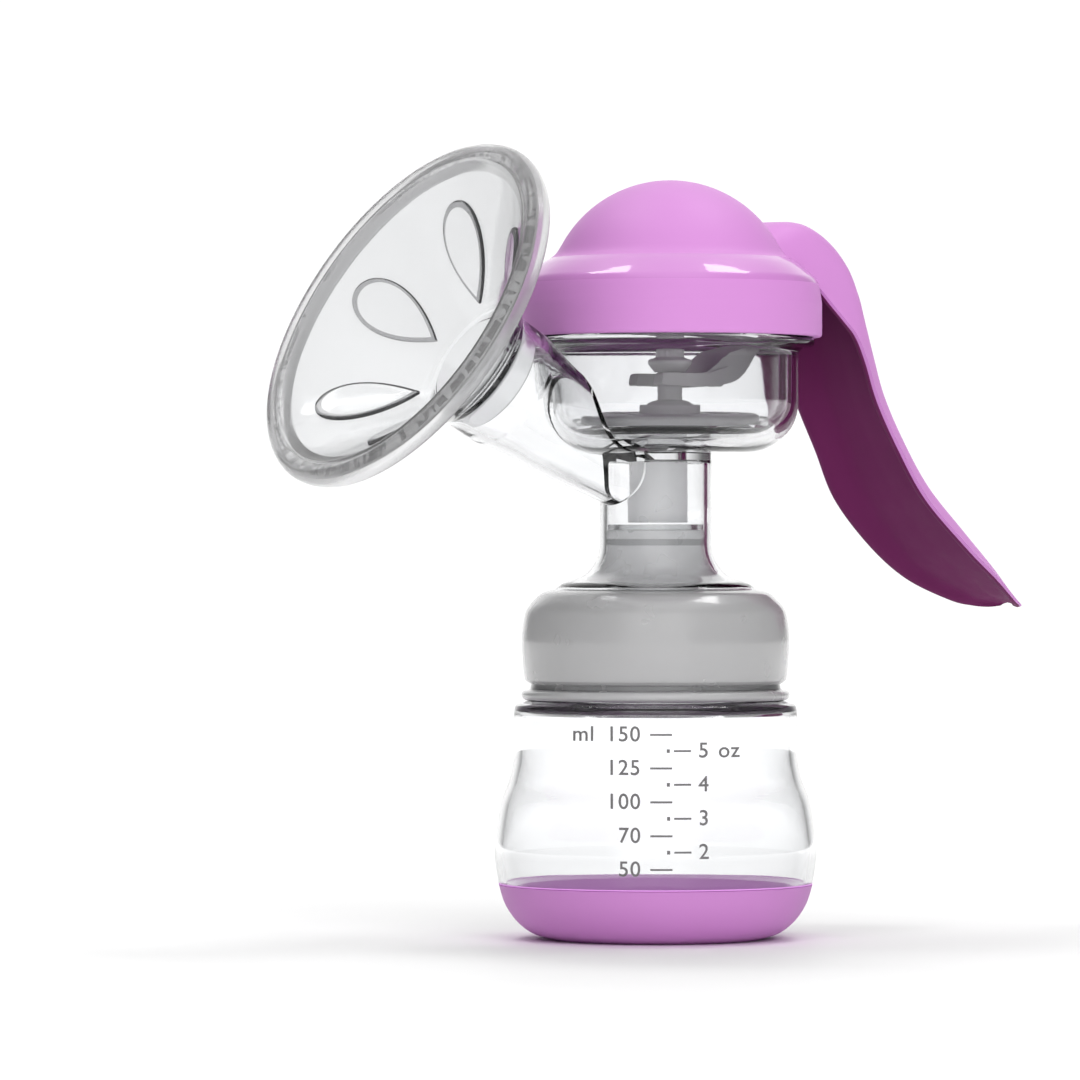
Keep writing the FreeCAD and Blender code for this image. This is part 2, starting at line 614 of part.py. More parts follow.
def make_lever_arm():
    half = CHEEK_IN - MOVE_GAP
    blade = face(
        (FORK_TIP_X, FORK_Z), (FORK_END_X - 4, FORK_Z),
        [(FORK_END_X + 3.1, FORK_Z + 1.3), (FORK_END_X + 7.5, FORK_Z + 4.9),
         (PIVOT_X - 6.2, PIVOT_Z - 10.2),
         (PIVOT_X - 3.9, PIVOT_Z - 1.0)],
        (PIVOT_X + 1.0, PIVOT_Z + HUB_R - 0.2), (PIVOT_X - 6.5, PIVOT_Z + HUB_R - 0.2),
        [(PIVOT_X - 10.5, PIVOT_Z - 4.5), (FORK_END_X + 2.2, FORK_TOP_Z + 6.0),
         (FORK_END_X - 4.0, FORK_TOP_Z + 0.9),
         (FORK_END_X - 7.5, FORK_TOP_Z)],
        (FORK_TIP_X, FORK_TOP_Z))
    tongue = box(PIVOT_X - 3.0, PIVOT_X + 3.2, -half, half, PIVOT_Z, SCREW_Z + 3.4)
    fork_half = FORK_W / 2
    arm = plate(blade, -fork_half, fork_half)
    arm = arm.cut(box(FORK_END_X + 4, PIVOT_X + 10, half, fork_half + 1, FORK_Z - 1, PIVOT_Z + 20))
    arm = arm.cut(box(FORK_END_X + 4, PIVOT_X + 10, -fork_half - 1, -half, FORK_Z - 1, PIVOT_Z + 20))
    slot_half = STEM_R + 0.4
    slot = box(FORK_TIP_X - 1, FORK_END_X - slot_half, -slot_half, slot_half, FORK_Z - 1, PIVOT_Z)
    slot = slot.fuse(Part.makeCylinder(slot_half, 30, V(FORK_END_X - slot_half, 0, FORK_Z - 1)))
    arm = arm.cut(slot).fuse([tongue, rod(HUB_R, -half, half, PIVOT_X, PIVOT_Z)])
    shaft = Part.makeCylinder(SCREW_R, 12, V(PIVOT_X - 4, 0, SCREW_Z), V(1, 0, 0))
    return arm.cut(rod(PIN_R + RUN_GAP, -half, half, PIVOT_X, PIVOT_Z)).cut(shaft)


def make_lever_screw():
    head = Part.makeCylinder(SCREW_HEAD_R, 1.8, V(PIVOT_X - 4.8, 0, SCREW_Z), V(1, 0, 0))
    shaft = Part.makeCylinder(SCREW_R, 10, V(PIVOT_X - 3.0, 0, SCREW_Z), V(1, 0, 0))
    cross = box(PIVOT_X - 5, PIVOT_X - 4, -1.7, 1.7, SCREW_Z - 0.35, SCREW_Z + 0.35)
    cross = cross.fuse(box(PIVOT_X - 5, PIVOT_X - 4, -0.35, 0.35, SCREW_Z - 1.7, SCREW_Z + 1.7))
    screw = head.fuse(shaft).cut(cross)
    return screw.common(box(PIVOT_X - 5, PIVOT_X + 6.0, -5, 5, SCREW_Z - 5, SCREW_Z + 5))


def make_stem():
    foot_z = DISC_TOP_Z - STEM_FOOT_T
    boss_top = SUPPORT_TOP_Z + BOSS_H
    section = face(
        (0, foot_z), (STEM_FOOT_R, foot_z), (STEM_FOOT_R, DISC_TOP_Z), (BOSS_R, DISC_TOP_Z),
        (BOSS_R, boss_top),
        ((BOSS_R - 1.0, boss_top + 0.8), (STEM_R, boss_top + 1.1)), (STEM_R, STEM_HEAD_Z),
        (STEM_R + 0.7, STEM_HEAD_Z), (STEM_HEAD_R, STEM_HEAD_Z + STEM_HEAD_H),
        (STEM_HEAD_R, STEM_HEAD_Z + STEM_HEAD_H + 0.8), (STEM_R + 0.4, STEM_HEAD_Z + STEM_HEAD_H + 1.4),
        (STEM_R + 0.4, STEM_TOP_Z - 1.2), (STEM_R - 0.8, STEM_TOP_Z), (0, STEM_TOP_Z))
    return turned(section, CHAMBER_X)


def make_stem_lock_ring():
    section = face((BOSS_R, SUPPORT_TOP_Z), (LOCK_RING_R, SUPPORT_TOP_Z),
                   (LOCK_RING_R, SUPPORT_TOP_Z + LOCK_RING_H - 0.5),
                   (LOCK_RING_R - 0.5, SUPPORT_TOP_Z + LOCK_RING_H), (BOSS_R, SUPPORT_TOP_Z + LOCK_RING_H))
    return turned(section, CHAMBER_X)


def make_support_disc():
    section = face((BOSS_R, DISC_TOP_Z), (BASE_DISC_R - 2.2, DISC_TOP_Z),
                   (BASE_DISC_R - 2.2, SUPPORT_TOP_Z - 0.6), (BASE_DISC_R - 2.8, SUPPORT_TOP_Z),
                   (BOSS_R, SUPPORT_TOP_Z))
    return turned(section, CHAMBER_X)


def make_diaphragm_base():
    foot_z = DISC_TOP_Z - STEM_FOOT_T
    section = face((0, BASE_DISC_Z), (BASE_DISC_R - 0.6, BASE_DISC_Z), (BASE_DISC_R, BASE_DISC_Z + 0.6),
                   (BASE_DISC_R, DISC_TOP_Z), (STEM_FOOT_R, DISC_TOP_Z), (STEM_FOOT_R, foot_z), (0, foot_z))
    return turned(section, CHAMBER_X)


def make_diaphragm_wall():
    out_r = CHAMBER_IN_R - DIAPHRAGM_GAP
    in_r = out_r - SILICONE_WALL
    inner_edge = BASE_DISC_R + MOVE_GAP
    corner = CHAMBER_CORNER - CHAMBER_WALL
    corner_x = CHAMBER_IN_R - corner
    corner_z = CHAMBER_Z + CHAMBER_FLOOR + corner

    def bend(radius):
        """Where the corner meets the disc's edge, and its middle, on an arc about the chamber's corner."""
        start = math.asin((inner_edge - corner_x) / radius)
        middle = (start + math.pi / 2) / 2
        return ((inner_edge, corner_z - radius * math.cos(start)),
                (corner_x + radius * math.sin(middle), corner_z - radius * math.cos(middle)))

    outer_start, outer_middle = bend(corner - DIAPHRAGM_GAP)
    inner_start, inner_middle = bend(corner - DIAPHRAGM_GAP - SILICONE_WALL)
    section = face(outer_start, (outer_middle, (out_r, corner_z)), (out_r, SPOUT_TOP_Z),
                   (SPOUT_R, SPOUT_TOP_Z), (SPOUT_R, BEAD_TOP_Z), (in_r, BEAD_TOP_Z), (in_r, corner_z),
                   (inner_middle, inner_start))
    return turned(section, CHAMBER_X)


NODES = {
    "base_cup": make_base_cup,
    "bottle": make_bottle,
    "sealing_gasket": make_sealing_gasket,
    "bottle_adapter": make_bottle_adapter,
    "spigot_seal": make_spigot_seal,
    "duckbill_valve": make_duckbill_valve,
    "pump_body": make_pump_body,
    "massage_cushion": make_massage_cushion,
    "dome_cap": make_dome_cap,
    "pivot_pin": make_pivot_pin,
    "handle": make_handle,
    "lever_arm": make_lever_arm,
    "lever_screw": make_lever_screw,
    "stem": make_stem,
    "stem_lock_ring": make_stem_lock_ring,
    "support_disc": make_support_disc,
    "diaphragm_base": make_diaphragm_base,
    "diaphragm_wall": make_diaphragm_wall,
}

os.makedirs("parts", exist_ok=True)
for name, make in NODES.items():
    solid = make()
    print(f"{name}: solids {len(solid.Solids)}, volume {solid.Volume:.0f}, valid {solid.isValid()}")
    solid.exportStep(f"parts/{name}.step")
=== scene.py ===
import bmesh
import bpy
import math
from mathutils import Matrix, Vector


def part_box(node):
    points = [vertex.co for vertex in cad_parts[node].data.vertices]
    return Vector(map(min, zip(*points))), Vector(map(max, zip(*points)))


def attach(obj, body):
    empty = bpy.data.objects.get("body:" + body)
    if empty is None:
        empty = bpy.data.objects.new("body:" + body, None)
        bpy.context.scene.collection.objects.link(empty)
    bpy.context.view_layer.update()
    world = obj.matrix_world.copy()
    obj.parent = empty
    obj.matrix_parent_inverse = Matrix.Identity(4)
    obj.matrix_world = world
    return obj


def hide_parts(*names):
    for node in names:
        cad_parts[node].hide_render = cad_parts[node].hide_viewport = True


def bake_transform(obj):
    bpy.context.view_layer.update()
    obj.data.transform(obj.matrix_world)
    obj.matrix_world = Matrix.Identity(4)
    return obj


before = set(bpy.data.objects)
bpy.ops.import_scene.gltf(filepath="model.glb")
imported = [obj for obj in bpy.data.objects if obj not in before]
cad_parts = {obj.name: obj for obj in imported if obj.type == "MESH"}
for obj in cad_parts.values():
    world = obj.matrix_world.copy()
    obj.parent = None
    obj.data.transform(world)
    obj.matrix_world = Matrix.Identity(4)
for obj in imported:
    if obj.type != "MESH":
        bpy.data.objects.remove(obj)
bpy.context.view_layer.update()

# Shapes are worked out in millimetres, as (radius, height) sides turned about an upright axis, and are
# written into the meshes in metres.
MM = 0.001


def box_mm(node):
    low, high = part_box(node)
    return [value / MM for value in low], [value / MM for value in high]


def width_mm(node):
    low, high = box_mm(node)
    return high[1] - low[1]


# ---- sizes read from the frame -------------------------------------------------------------------------
BASE_R = width_mm("base_cup") / 2
BASE_TOP = box_mm("base_cup")[1][2]
BOTTLE_R = width_mm("bottle") / 2
MOUTH_Z = box_mm("bottle")[1][2]
COLLAR_R = width_mm("bottle_adapter") / 2
COLLAR_Z = box_mm("bottle_adapter")[0][2]
SPIGOT_Z = box_mm("bottle_adapter")[1][2]
GASKET_TOP = box_mm("sealing_gasket")[1][2]
CAP_R = width_mm("dome_cap") / 2
CAP_FOOT = box_mm("dome_cap")[0][2]
CAP_TOP = box_mm("dome_cap")[1][2]
CHAMBER_X = (box_mm("stem")[0][0] + box_mm("stem")[1][0]) / 2
RIM_Z = CAP_FOOT
BEAD_TOP = box_mm("diaphragm_wall")[1][2]
BEAD_H = 1.6
SPOUT_TOP = BEAD_TOP - BEAD_H        # the bead on the diaphragm's rim lies on the chamber's spout
SPOUT_R = width_mm("diaphragm_wall") / 2
DISC_R = width_mm("diaphragm_base") / 2
DISC_Z = box_mm("diaphragm_base")[0][2]
DISC_TOP = box_mm("support_disc")[0][2]
SUPPORT_TOP = box_mm("support_disc")[1][2]
PIN_X = (box_mm("pivot_pin")[0][0] + box_mm("pivot_pin")[1][0]) / 2
PIN_Z = (box_mm("pivot_pin")[0][2] + box_mm("pivot_pin")[1][2]) / 2
FORK_Z = box_mm("lever_arm")[0][2]
FORK_TIP = box_mm("lever_arm")[0][0]
LEVER_TOP = box_mm("lever_arm")[1][2]
STEM_TOP = box_mm("stem")[1][2]
LIP_R = width_mm("massage_cushion") / 2

# ---- other sizes ---------------------------------------------------------------------------------------
BASE_FOOT_R = 24.0
BASE_WALL = 2.0
BOTTLE_SEAT = 2.1        # the bottle stands this far above the table inside the base cup
WAIST_R = 31.9
BELLY_Z = 21.0
WAIST_Z = 46.0
SHOULDER_Z = 53.7
WALL = 1.8
NECK_R = 25.0
MOUTH_BORE = 22.0
THREAD_PITCH = 4.5
THREAD_DEPTH = 1.2
THREAD_Z = 60.5
DECK = 3.0               # thickness of the adapter's plate over the bottle's mouth
FLARE_R = 22.8
FLARE_Z = 78.8
FLARE_H = 10.2
TUBE_R = 12.65
TUBE_WALL = 1.55
CHAMBER_R = 29.1
CHAMBER_WALL = 2.2
CHAMBER_Z = 109.9
CHAMBER_FLOOR = 2.6
CORNER = 11.5
RIM_R = 32.8
RISER_R = 6.8
RISER_WALL = 1.8
RISER_X = 0.6
RISER_Z = 94.0
RISER_TOP = 108.2
FUNNEL_TILT = math.radians(30)
FUNNEL_REACH = 81.2
FUNNEL_MEET = 100.7
CONE_HALF = math.radians(51.5)
THROAT_R = 11.0
THROAT_DEPTH = 23.0
SLEEVE_WALL = 1.0
SLEEVE_DEPTH = 30.5
RIM_DEPTH = 2.2
CUSHION_WALL = 1.2
CUSHION_GAP = 0.25
FUNNEL_WALL = 1.4
FUNNEL_RIM_R = 41.8
MILK_TUBE_WALL = 2.0
DOME_R = 27.9
DOME_FOOT = 157.0
CAP_WALL = 2.0
SKIRT_TOP = 143.0
HINGE_EAR_R = 4.2
FORK_H = 2.9
LEVER_HALF_Y = 5.9
BOSS_R = 5.4
TURN_STEPS = 160
FUNNEL_STEPS = 240       # steps of a turn on the big cone

VIEW_ANGLE = math.radians(34.75)     # the photograph looks from the funnel's side of the front
VIEW_DISTANCE = 1472 * MM
VIEW_HEIGHT = 86.75 * MM
VIEW_ASIDE = 26.16 * MM              # the aim passes this far to the left of the bottle's axis
VIEW_LENS = 216.7
VIEW_RISE = 0.0139


# ---- curves and meshes ---------------------------------------------------------------------------------
def curve(points, steps=8):
    """Smooth run through the points (Catmull-Rom), ends included."""
    run = []
    last = len(points) - 1
    for i in range(last):
        p0, p1, p2, p3 = (points[min(max(k, 0), last)] for k in range(i - 1, i + 3))
        for step in range(steps):
            t = step / steps
            run.append(tuple(
                b + 0.5 * t * (c - a + t * (2 * a - 5 * b + 4 * c - d + t * (3 * (b - c) + d - a)))
                for a, b, c, d in zip(p0, p1, p2, p3)))
    return run + [tuple(points[last])]


def arc(centre, radius, start, end, steps=12):
    """Points on an arc from start to end, in degrees from the +r direction toward +z."""
    run = []
    for i in range(steps + 1):
        angle = math.radians(start + (end - start) * i / steps)
        run.append((centre[0] + radius * math.cos(angle), centre[1] + radius * math.sin(angle)))
    return run


def rounded(corners, closed=True, steps=4):
    """Side with its corners rounded. A corner is (r, z) or (r, z, fillet)."""
    run = []
    count = len(corners)
    for i, corner in enumerate(corners):
        here = Vector(corner[:2])
        fillet = corner[2] if len(corner) > 2 else 0
        inner = closed or 0 < i < count - 1
        if not fillet or not inner:
            run.append(tuple(here))
            continue
        before = Vector(corners[i - 1][:2]) - here
        after = Vector(corners[(i + 1) % count][:2]) - here
        reach = min(fillet, 0.48 * before.length, 0.48 * after.length)
        a = here + before.normalized() * reach
        b = here + after.normalized() * reach
        for step in range(steps + 1):
            t = step / steps
            run.append(tuple((1 - t) ** 2 * a + 2 * t * (1 - t) * here + t ** 2 * b))
    return run


def inset(points, wall):
    """An open side moved square to itself by wall, toward the axis."""
    moved = []
    last = len(points) - 1
    for i, (r, z) in enumerate(points):
        before = points[max(i - 1, 0)]
        after = points[min(i + 1, last)]
        dr = after[0] - before[0]
        dz = after[1] - before[1]
        size = math.hypot(dr, dz) or 1
        side = 1 if dz > 0 else -1
        moved.append((r - side * wall * dz / size, z + side * wall * dr / size))
    return moved


def link(name, data):
    """New object in the scene from a mesh, curve, light or camera."""
    piece = bpy.data.objects.new(name, data)
    bpy.context.scene.collection.objects.link(piece)
    return piece


def shade(bm, sharp):
    """Smooth shading, but for edges sharper than so many degrees."""
    for f in bm.faces:
        f.smooth = True
    limit = math.radians(sharp)
    for e in bm.edges:
        if len(e.link_faces) == 2:
            e.smooth = e.calc_face_angle(0) < limit


def finish_mesh(name, bm, sharp=35, place=None):
    """Object from a bmesh in millimetres: merged, outward normals, smooth but for sharp edges."""
    bmesh.ops.remove_doubles(bm, verts=bm.verts, dist=1e-4)
    bmesh.ops.dissolve_degenerate(bm, dist=1e-5, edges=bm.edges)
    bmesh.ops.recalc_face_normals(bm, faces=bm.faces)
    shade(bm, sharp)
    mesh = bpy.data.meshes.new(name)
    bm.to_mesh(mesh)
    bm.free()
    if place is not None:
        mesh.transform(place)
    mesh.transform(Matrix.Scale(MM, 4))
    return link(name, mesh)


def turned_bmesh(side, steps=TURN_STEPS):
    """Full turn of a side. It is a closed loop unless it starts and ends on the axis."""
    bm = bmesh.new()
    rings = []
    for r, z in side:
        if r < 1e-6:
            rings.append([bm.verts.new((0, 0, z))])
            continue
        ring = []
        for k in range(steps):
            angle = 2 * math.pi * k / steps
            ring.append(bm.verts.new((r * math.cos(angle), r * math.sin(angle), z)))
        rings.append(ring)
    on_axis = len(rings[0]) == 1 and len(rings[-1]) == 1
    pairs = list(zip(rings, rings[1:]))
    if not on_axis:
        pairs.append((rings[-1], rings[0]))
    for a, b in pairs:
        for k in range(steps):
            n = (k + 1) % steps
            if len(a) == 1 and len(b) == 1:
                continue
            if len(a) == 1:
                bm.faces.new((a[0], b[k], b[n]))
            elif len(b) == 1:
                bm.faces.new((a[k], a[n], b[0]))
            else:
                bm.faces.new((a[k], a[n], b[n], b[k]))
    return bm


def turned(name, side, x=0.0, steps=TURN_STEPS, place=None, sharp=35):
    shift = Matrix.Translation((x, 0, 0))
    return finish_mesh(name, turned_bmesh(side, steps), sharp, place or shift)


def slab_bmesh(bm, outline, y0, y1, bevel=0.35):
    """Closed (x, z) outline thickened along Y, with its rim edges bevelled."""
    near = [bm.verts.new((x, y0, z)) for x, z in outline]
    far = [bm.verts.new((x, y1, z)) for x, z in outline]
    faces = [bm.faces.new(near), bm.faces.new(list(reversed(far)))]
    count = len(outline)
    for i in range(count):
        n = (i + 1) % count
        bm.faces.new((near[n], near[i], far[i], far[n]))
    rims = [e for f in faces for e in f.edges]
    bmesh.ops.bevel(bm, geom=rims, offset=bevel, segments=3, affect="EDGES", clamp_overlap=True)


def slab(name, outline, y0, y1, bevel=0.35, sharp=40):
    bm = bmesh.new()
    slab_bmesh(bm, outline, y0, y1, bevel)
    return finish_mesh(name, bm, sharp)


def block(name, low, high, bevel=0.3):
    """Box with bevelled edges between two corners, in millimetres."""
    outline = [(low[0], low[2]), (high[0], low[2]), (high[0], high[2]), (low[0], high[2])]
    return slab(name, outline, low[1], high[1], bevel)


def rod(name, radius, y0, y1, x, z, steps=64):
    turns = [2 * math.pi * k / steps for k in range(steps)]
    outline = [(x + radius * math.cos(turn), z + radius * math.sin(turn)) for turn in turns]
    return slab(name, outline, y0, y1, 0.2)


def combine(piece, operation, *tools, sharp=35):
    """Boolean of the piece with each tool, written into the piece's mesh. The tools are removed."""
    for tool in tools:
        change = piece.modifiers.new("combine", "BOOLEAN")
        change.operation = operation
        change.solver = "EXACT"
        change.object = tool
    graph = bpy.context.evaluated_depsgraph_get()
    mesh = bpy.data.meshes.new_from_object(piece.evaluated_get(graph))
    piece.modifiers.clear()
    piece.data = mesh
    for tool in tools:
        bpy.data.objects.remove(tool, do_unlink=True)
    bm = bmesh.new()
    bm.from_mesh(mesh)
    bmesh.ops.remove_doubles(bm, verts=bm.verts, dist=1e-7)
    bmesh.ops.dissolve_degenerate(bm, dist=1e-8, edges=bm.edges)
    shade(bm, sharp)
    bm.to_mesh(mesh)
    bm.free()
    return piece


def funnel_place():
    """Puts a shape made about +Z, with the rim plane at z = 0, on the funnel's axis."""
    turn = Matrix.Rotation(FUNNEL_TILT - math.pi / 2, 4, "Y")
    rise = FUNNEL_REACH * math.sin(FUNNEL_TILT)
    rim = Vector((-FUNNEL_REACH * math.cos(FUNNEL_TILT), 0, FUNNEL_MEET + rise))
    return Matrix.Translation(rim) @ turn


def helical_rib(name, root_r, tip_r, z, turns=1.25, foot=2.4, tip=1.2, run_out=14):
    """Screw rib whose ends run out into the wall over run_out steps."""
    bm = bmesh.new()
    steps = int(TURN_STEPS * turns)
    sunk = root_r + (0.4 if tip_r < root_r else -0.4)
    rings = []
    for k in range(steps + 1):
        angle = 2 * math.pi * turns * k / steps
        height = z + THREAD_PITCH * turns * k / steps
        fade = min(1, k / run_out, (steps - k) / run_out)
        crest = sunk + (tip_r - sunk) * max(fade, 0.02)
        section = ((sunk, -foot / 2), (crest, -tip / 2), (crest, tip / 2), (sunk, foot / 2))
        rings.append([bm.verts.new((r * math.cos(angle), r * math.sin(angle), height + dz))
                      for r, dz in section])
    for a, b in zip(rings, rings[1:]):
        for i in range(4):
            n = (i + 1) % 4
            bm.faces.new((a[i], a[n], b[n], b[i]))
    bm.faces.new(rings[0])
    bm.faces.new(list(reversed(rings[-1])))
    return finish_mesh(name, bm, 50)


# ---- materials -----------------------------------------------------------------------------------------
MOTTLE_SCALE = 240
PEEL_SCALE = 900
WEAR_SCALE = 150
RELIEF_DEPTH = 0.0002
PLASTIC_IOR = 1.49


def graph(name):
    material = bpy.data.materials.new(name)
    material.use_nodes = True
    nodes = material.node_tree.nodes
    return material, nodes, material.node_tree.links, nodes["Principled BSDF"]


def noise(nodes, links, coords, scale, detail=3.0, rough=0.5):
    texture = nodes.new("ShaderNodeTexNoise")
    texture.inputs["Scale"].default_value = scale
    texture.inputs["Detail"].default_value = detail
    texture.inputs["Roughness"].default_value = rough
    links.new(coords.outputs["Object"], texture.inputs["Vector"])
    return texture


def spread(nodes, links, source, low, high):
    """Maps a texture's 0.3-0.7 to low-high."""
    scale = nodes.new("ShaderNodeMapRange")
    scale.inputs["From Min"].default_value = 0.3
    scale.inputs["From Max"].default_value = 0.7
    scale.inputs["To Min"].default_value = low
    scale.inputs["To Max"].default_value = high
    links.new(source.outputs["Fac"], scale.inputs["Value"])
    return scale


def two_tone(nodes, links, shader, source, low, high, span=(0.0, 1.0)):
    """Base colour that runs from low to high as the texture rises over the span."""
    ramp = nodes.new("ShaderNodeValToRGB")
    for element, place, colour in zip(ramp.color_ramp.elements, span, (low, high)):
        element.position = place
        element.color = (*colour, 1)
    links.new(source.outputs["Fac"], ramp.inputs["Fac"])
    links.new(ramp.outputs["Color"], shader.inputs["Base Color"])


def skin_relief(nodes, links, shader, texture, strength):
    """Fine bump from a texture, on the shader's normal."""
    relief = nodes.new("ShaderNodeBump")
    relief.inputs["Strength"].default_value = strength
    relief.inputs["Distance"].default_value = RELIEF_DEPTH
    links.new(texture.outputs["Fac"], relief.inputs["Height"])
    links.new(relief.outputs["Normal"], shader.inputs["Normal"])


def moulded(name, colour, vary=0.05, rough=0.28, rough_vary=0.05, bump=0.05, coat=0.0, specular=0.4,
            drift_scale=18, glow=0.0):
    """Moulded plastic: slow drift in tone, finer mottling in gloss, and a faint orange-peel surface."""
    material, nodes, links, shader = graph(name)
    coords = nodes.new("ShaderNodeTexCoord")
    two_tone(nodes, links, shader, noise(nodes, links, coords, drift_scale, 2.0),
             [c * (1 - vary) for c in colour], [min(c * (1 + vary), 1) for c in colour], (0.3, 0.7))
    mottle = noise(nodes, links, coords, MOTTLE_SCALE, 4.0, 0.6)
    gloss = spread(nodes, links, mottle, rough - rough_vary, rough + rough_vary)
    links.new(gloss.outputs["Result"], shader.inputs["Roughness"])
    skin_relief(nodes, links, shader, noise(nodes, links, coords, PEEL_SCALE, 2.0), bump)
    shader.inputs["IOR"].default_value = PLASTIC_IOR
    shader.inputs["Specular IOR Level"].default_value = specular
    # Emission in the plastic's own colour, glow times as strong: painted glow, since the piece is no lamp.
    shader.inputs["Emission Color"].default_value = (*colour, 1)
    shader.inputs["Emission Strength"].default_value = glow
    shader.inputs["Coat Weight"].default_value = coat
    shader.inputs["Coat Roughness"].default_value = 0.06
    return material


def clear(name, tint=(0.97, 0.975, 0.98), rough=0.03, rough_vary=0.02, ior=1.46, absorb=24.0, bump=0.03,
          ripple=700, pass_through=1.0, glow=0.0, coat=0.0):
    """See-through plastic or silicone: it darkens with thickness, and its skin ripples faintly."""
    material, nodes, links, shader = graph(name)
    coords = nodes.new("ShaderNodeTexCoord")
    two_tone(nodes, links, shader, noise(nodes, links, coords, 40, 2.0), [c * 0.985 for c in tint], tint)
    wear = noise(nodes, links, coords, WEAR_SCALE, 2.0)
    gloss = spread(nodes, links, wear, max(rough - rough_vary, 0), rough + rough_vary)
    links.new(gloss.outputs["Result"], shader.inputs["Roughness"])
    skin_relief(nodes, links, shader, noise(nodes, links, coords, ripple, 2.0), bump)
    shader.inputs["Transmission Weight"].default_value = pass_through
    shader.inputs["Coat Weight"].default_value = coat
    shader.inputs["Coat Roughness"].default_value = 0.08
    # Emission in the tint, glow times as strong: painted glow, since the piece is no lamp.
    shader.inputs["Emission Color"].default_value = (*tint, 1)
    shader.inputs["Emission Strength"].default_value = glow
    shader.inputs["IOR"].default_value = ior
    depth = nodes.new("ShaderNodeVolumeAbsorption")
    depth.inputs["Color"].default_value = (0.5, 0.5, 0.51, 1)
    depth.inputs["Density"].default_value = absorb * 2
    links.new(depth.outputs["Volume"], nodes["Material Output"].inputs["Volume"])
    return material


def brushed(name, colour):
    material = moulded(name, colour, 0.04, 0.3, 0.06, 0.04)
    shader = material.node_tree.nodes["Principled BSDF"]
    shader.inputs["Metallic"].default_value = 1.0
    return material


LILAC = moulded("lilac_satin", (0.63, 0.265, 0.635), 0.012, 0.5, 0.03, 0.02, specular=0.25)
LILAC_GLOSS = moulded("lilac_gloss", (0.595, 0.235, 0.60), 0.012, 0.4, 0.03, 0.01, coat=0.9, specular=0.2)
# Lilac that glows at 0.42 of its own colour: painted glow, for the bottle's outer faces hidden inside the
# base cup, so the band seen there through the clear bottle comes out light.
LILAC_PAINTED_GLOW = moulded("lilac_painted_glow", (0.60, 0.268, 0.64), 0.012, 0.5, 0.03, 0.02, glow=0.42)
# Dark plum for the inside of the handle's channel: painted shade, the channel drawn darker than its lilac
# as if it lay in shadow.
LILAC_PAINTED_SHADE = moulded("lilac_painted_shade", (0.155, 0.02, 0.10), 0.05, 0.6, 0.05, 0.03, specular=0.08)
CLEAR = clear("clear_shell", absorb=17.0, ior=1.36)
CLEAR_BOTTLE = clear("clear_bottle", absorb=16.0, ior=1.42, bump=0.01)
SILICONE = clear("silicone", (0.93, 0.935, 0.94), 0.1, 0.03, 1.33, 24.0, 0.03, 800, 0.88)
SILICONE_LIP = clear("silicone_lip", (0.86, 0.86, 0.865), 0.24, 0.03, 1.33, 26.0, 0.03, 800, 0.84)
# Dark grey, strongly absorbing silicone for the sides of the petals: painted shade that outlines each
# petal.
PETAL_EDGE_SHADE = clear("petal_edge_shade", (0.50, 0.50, 0.51), 0.1, 0.03, 1.33, 60.0, 0.03, 800, 0.85)
MEMBRANE = clear("membrane", (0.98, 0.98, 0.985), 0.05, 0.02, 1.25, 8.0, 0.02, 800)
FROSTED = clear("frosted", (0.60, 0.598, 0.605), 0.24, 0.04, 1.45, 8.0, 0.05, 800, 0.35, coat=0.7)
# Milky frosted plastic that also glows at 0.12 of its tint: the milky tone is its own, the glow is painted
# light.
MILKY_PAINTED_GLOW = clear("milky_painted_glow", (0.93, 0.93, 0.94), 0.3, 0.05, 1.3, 2.0, 0.04, 800, 0.25, 0.12)
GREY = moulded("grey", (0.74, 0.73, 0.74), 0.05, 0.42, 0.05, 0.03)
GREY_PALE = moulded("grey_pale", (0.85, 0.84, 0.85), 0.05, 0.45, 0.05, 0.03)
PRINT = moulded("scale_marks", (0.17, 0.165, 0.17), 0.1, 0.5, 0.05, 0.05)
STEEL = brushed("steel", (0.6, 0.6, 0.61))


def dress(piece, body, slot, *materials):
    """Rides the piece on its body, with its materials; its slot is not used."""
    for material in materials:
        piece.data.materials.append(material)
    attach(piece, body)
    return piece


# ---- bottle and base -----------------------------------------------------------------------------------
def base_side():
    """Outer side of the base cup, an arc from the foot to the rim."""
    foot = BASE_FOOT_R
    return curve([(foot, 0.0), (foot + 0.36 * (BASE_R - foot), 1.35), (foot + 0.66 * (BASE_R - foot), 4.1),
                  (foot + 0.88 * (BASE_R - foot), 7.9), (BASE_R, BASE_TOP)], 8)


def make_base_cup():
    outer = base_side()
    inner = list(reversed(inset(outer, BASE_WALL)))
    side = rounded([(0.0, 0.9), (17.0, 0.9, 1.0), (19.0, 0.0, 1.0)], False) + outer
    side += [(BASE_R - 0.25, BASE_TOP), (BASE_R - 1.9, BASE_TOP)] + inner[1:] + [(0.0, BASE_WALL)]
    piece = turned("base_shell", side)
    dress(piece, "bottle_body", "lilac_plastic", LILAC)
    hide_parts("base_cup")


def bottle_side():
    """Outer side of the bottle from the base's rim to the shoulder."""
    bulge = BOTTLE_R - WAIST_R
    fall = WAIST_Z - BELLY_Z
    return curve([(BASE_R, BASE_TOP + 0.15), (BOTTLE_R - 0.32, BASE_TOP + 4.0), (BOTTLE_R, BELLY_Z),
                  (WAIST_R + 0.70 * bulge, BELLY_Z + 0.38 * fall),
                  (WAIST_R + 0.28 * bulge, BELLY_Z + 0.60 * fall),
                  (WAIST_R + 0.04 * bulge, BELLY_Z + 0.84 * fall), (WAIST_R + 0.25, SHOULDER_Z - 3.2)], 8)


def bottle_radius(z):
    side = bottle_side()
    for (r0, z0), (r1, z1) in zip(side, side[1:]):
        if z0 <= z <= z1:
            return r0 + (r1 - r0) * (z - z0) / (z1 - z0)
    return side[-1][0]


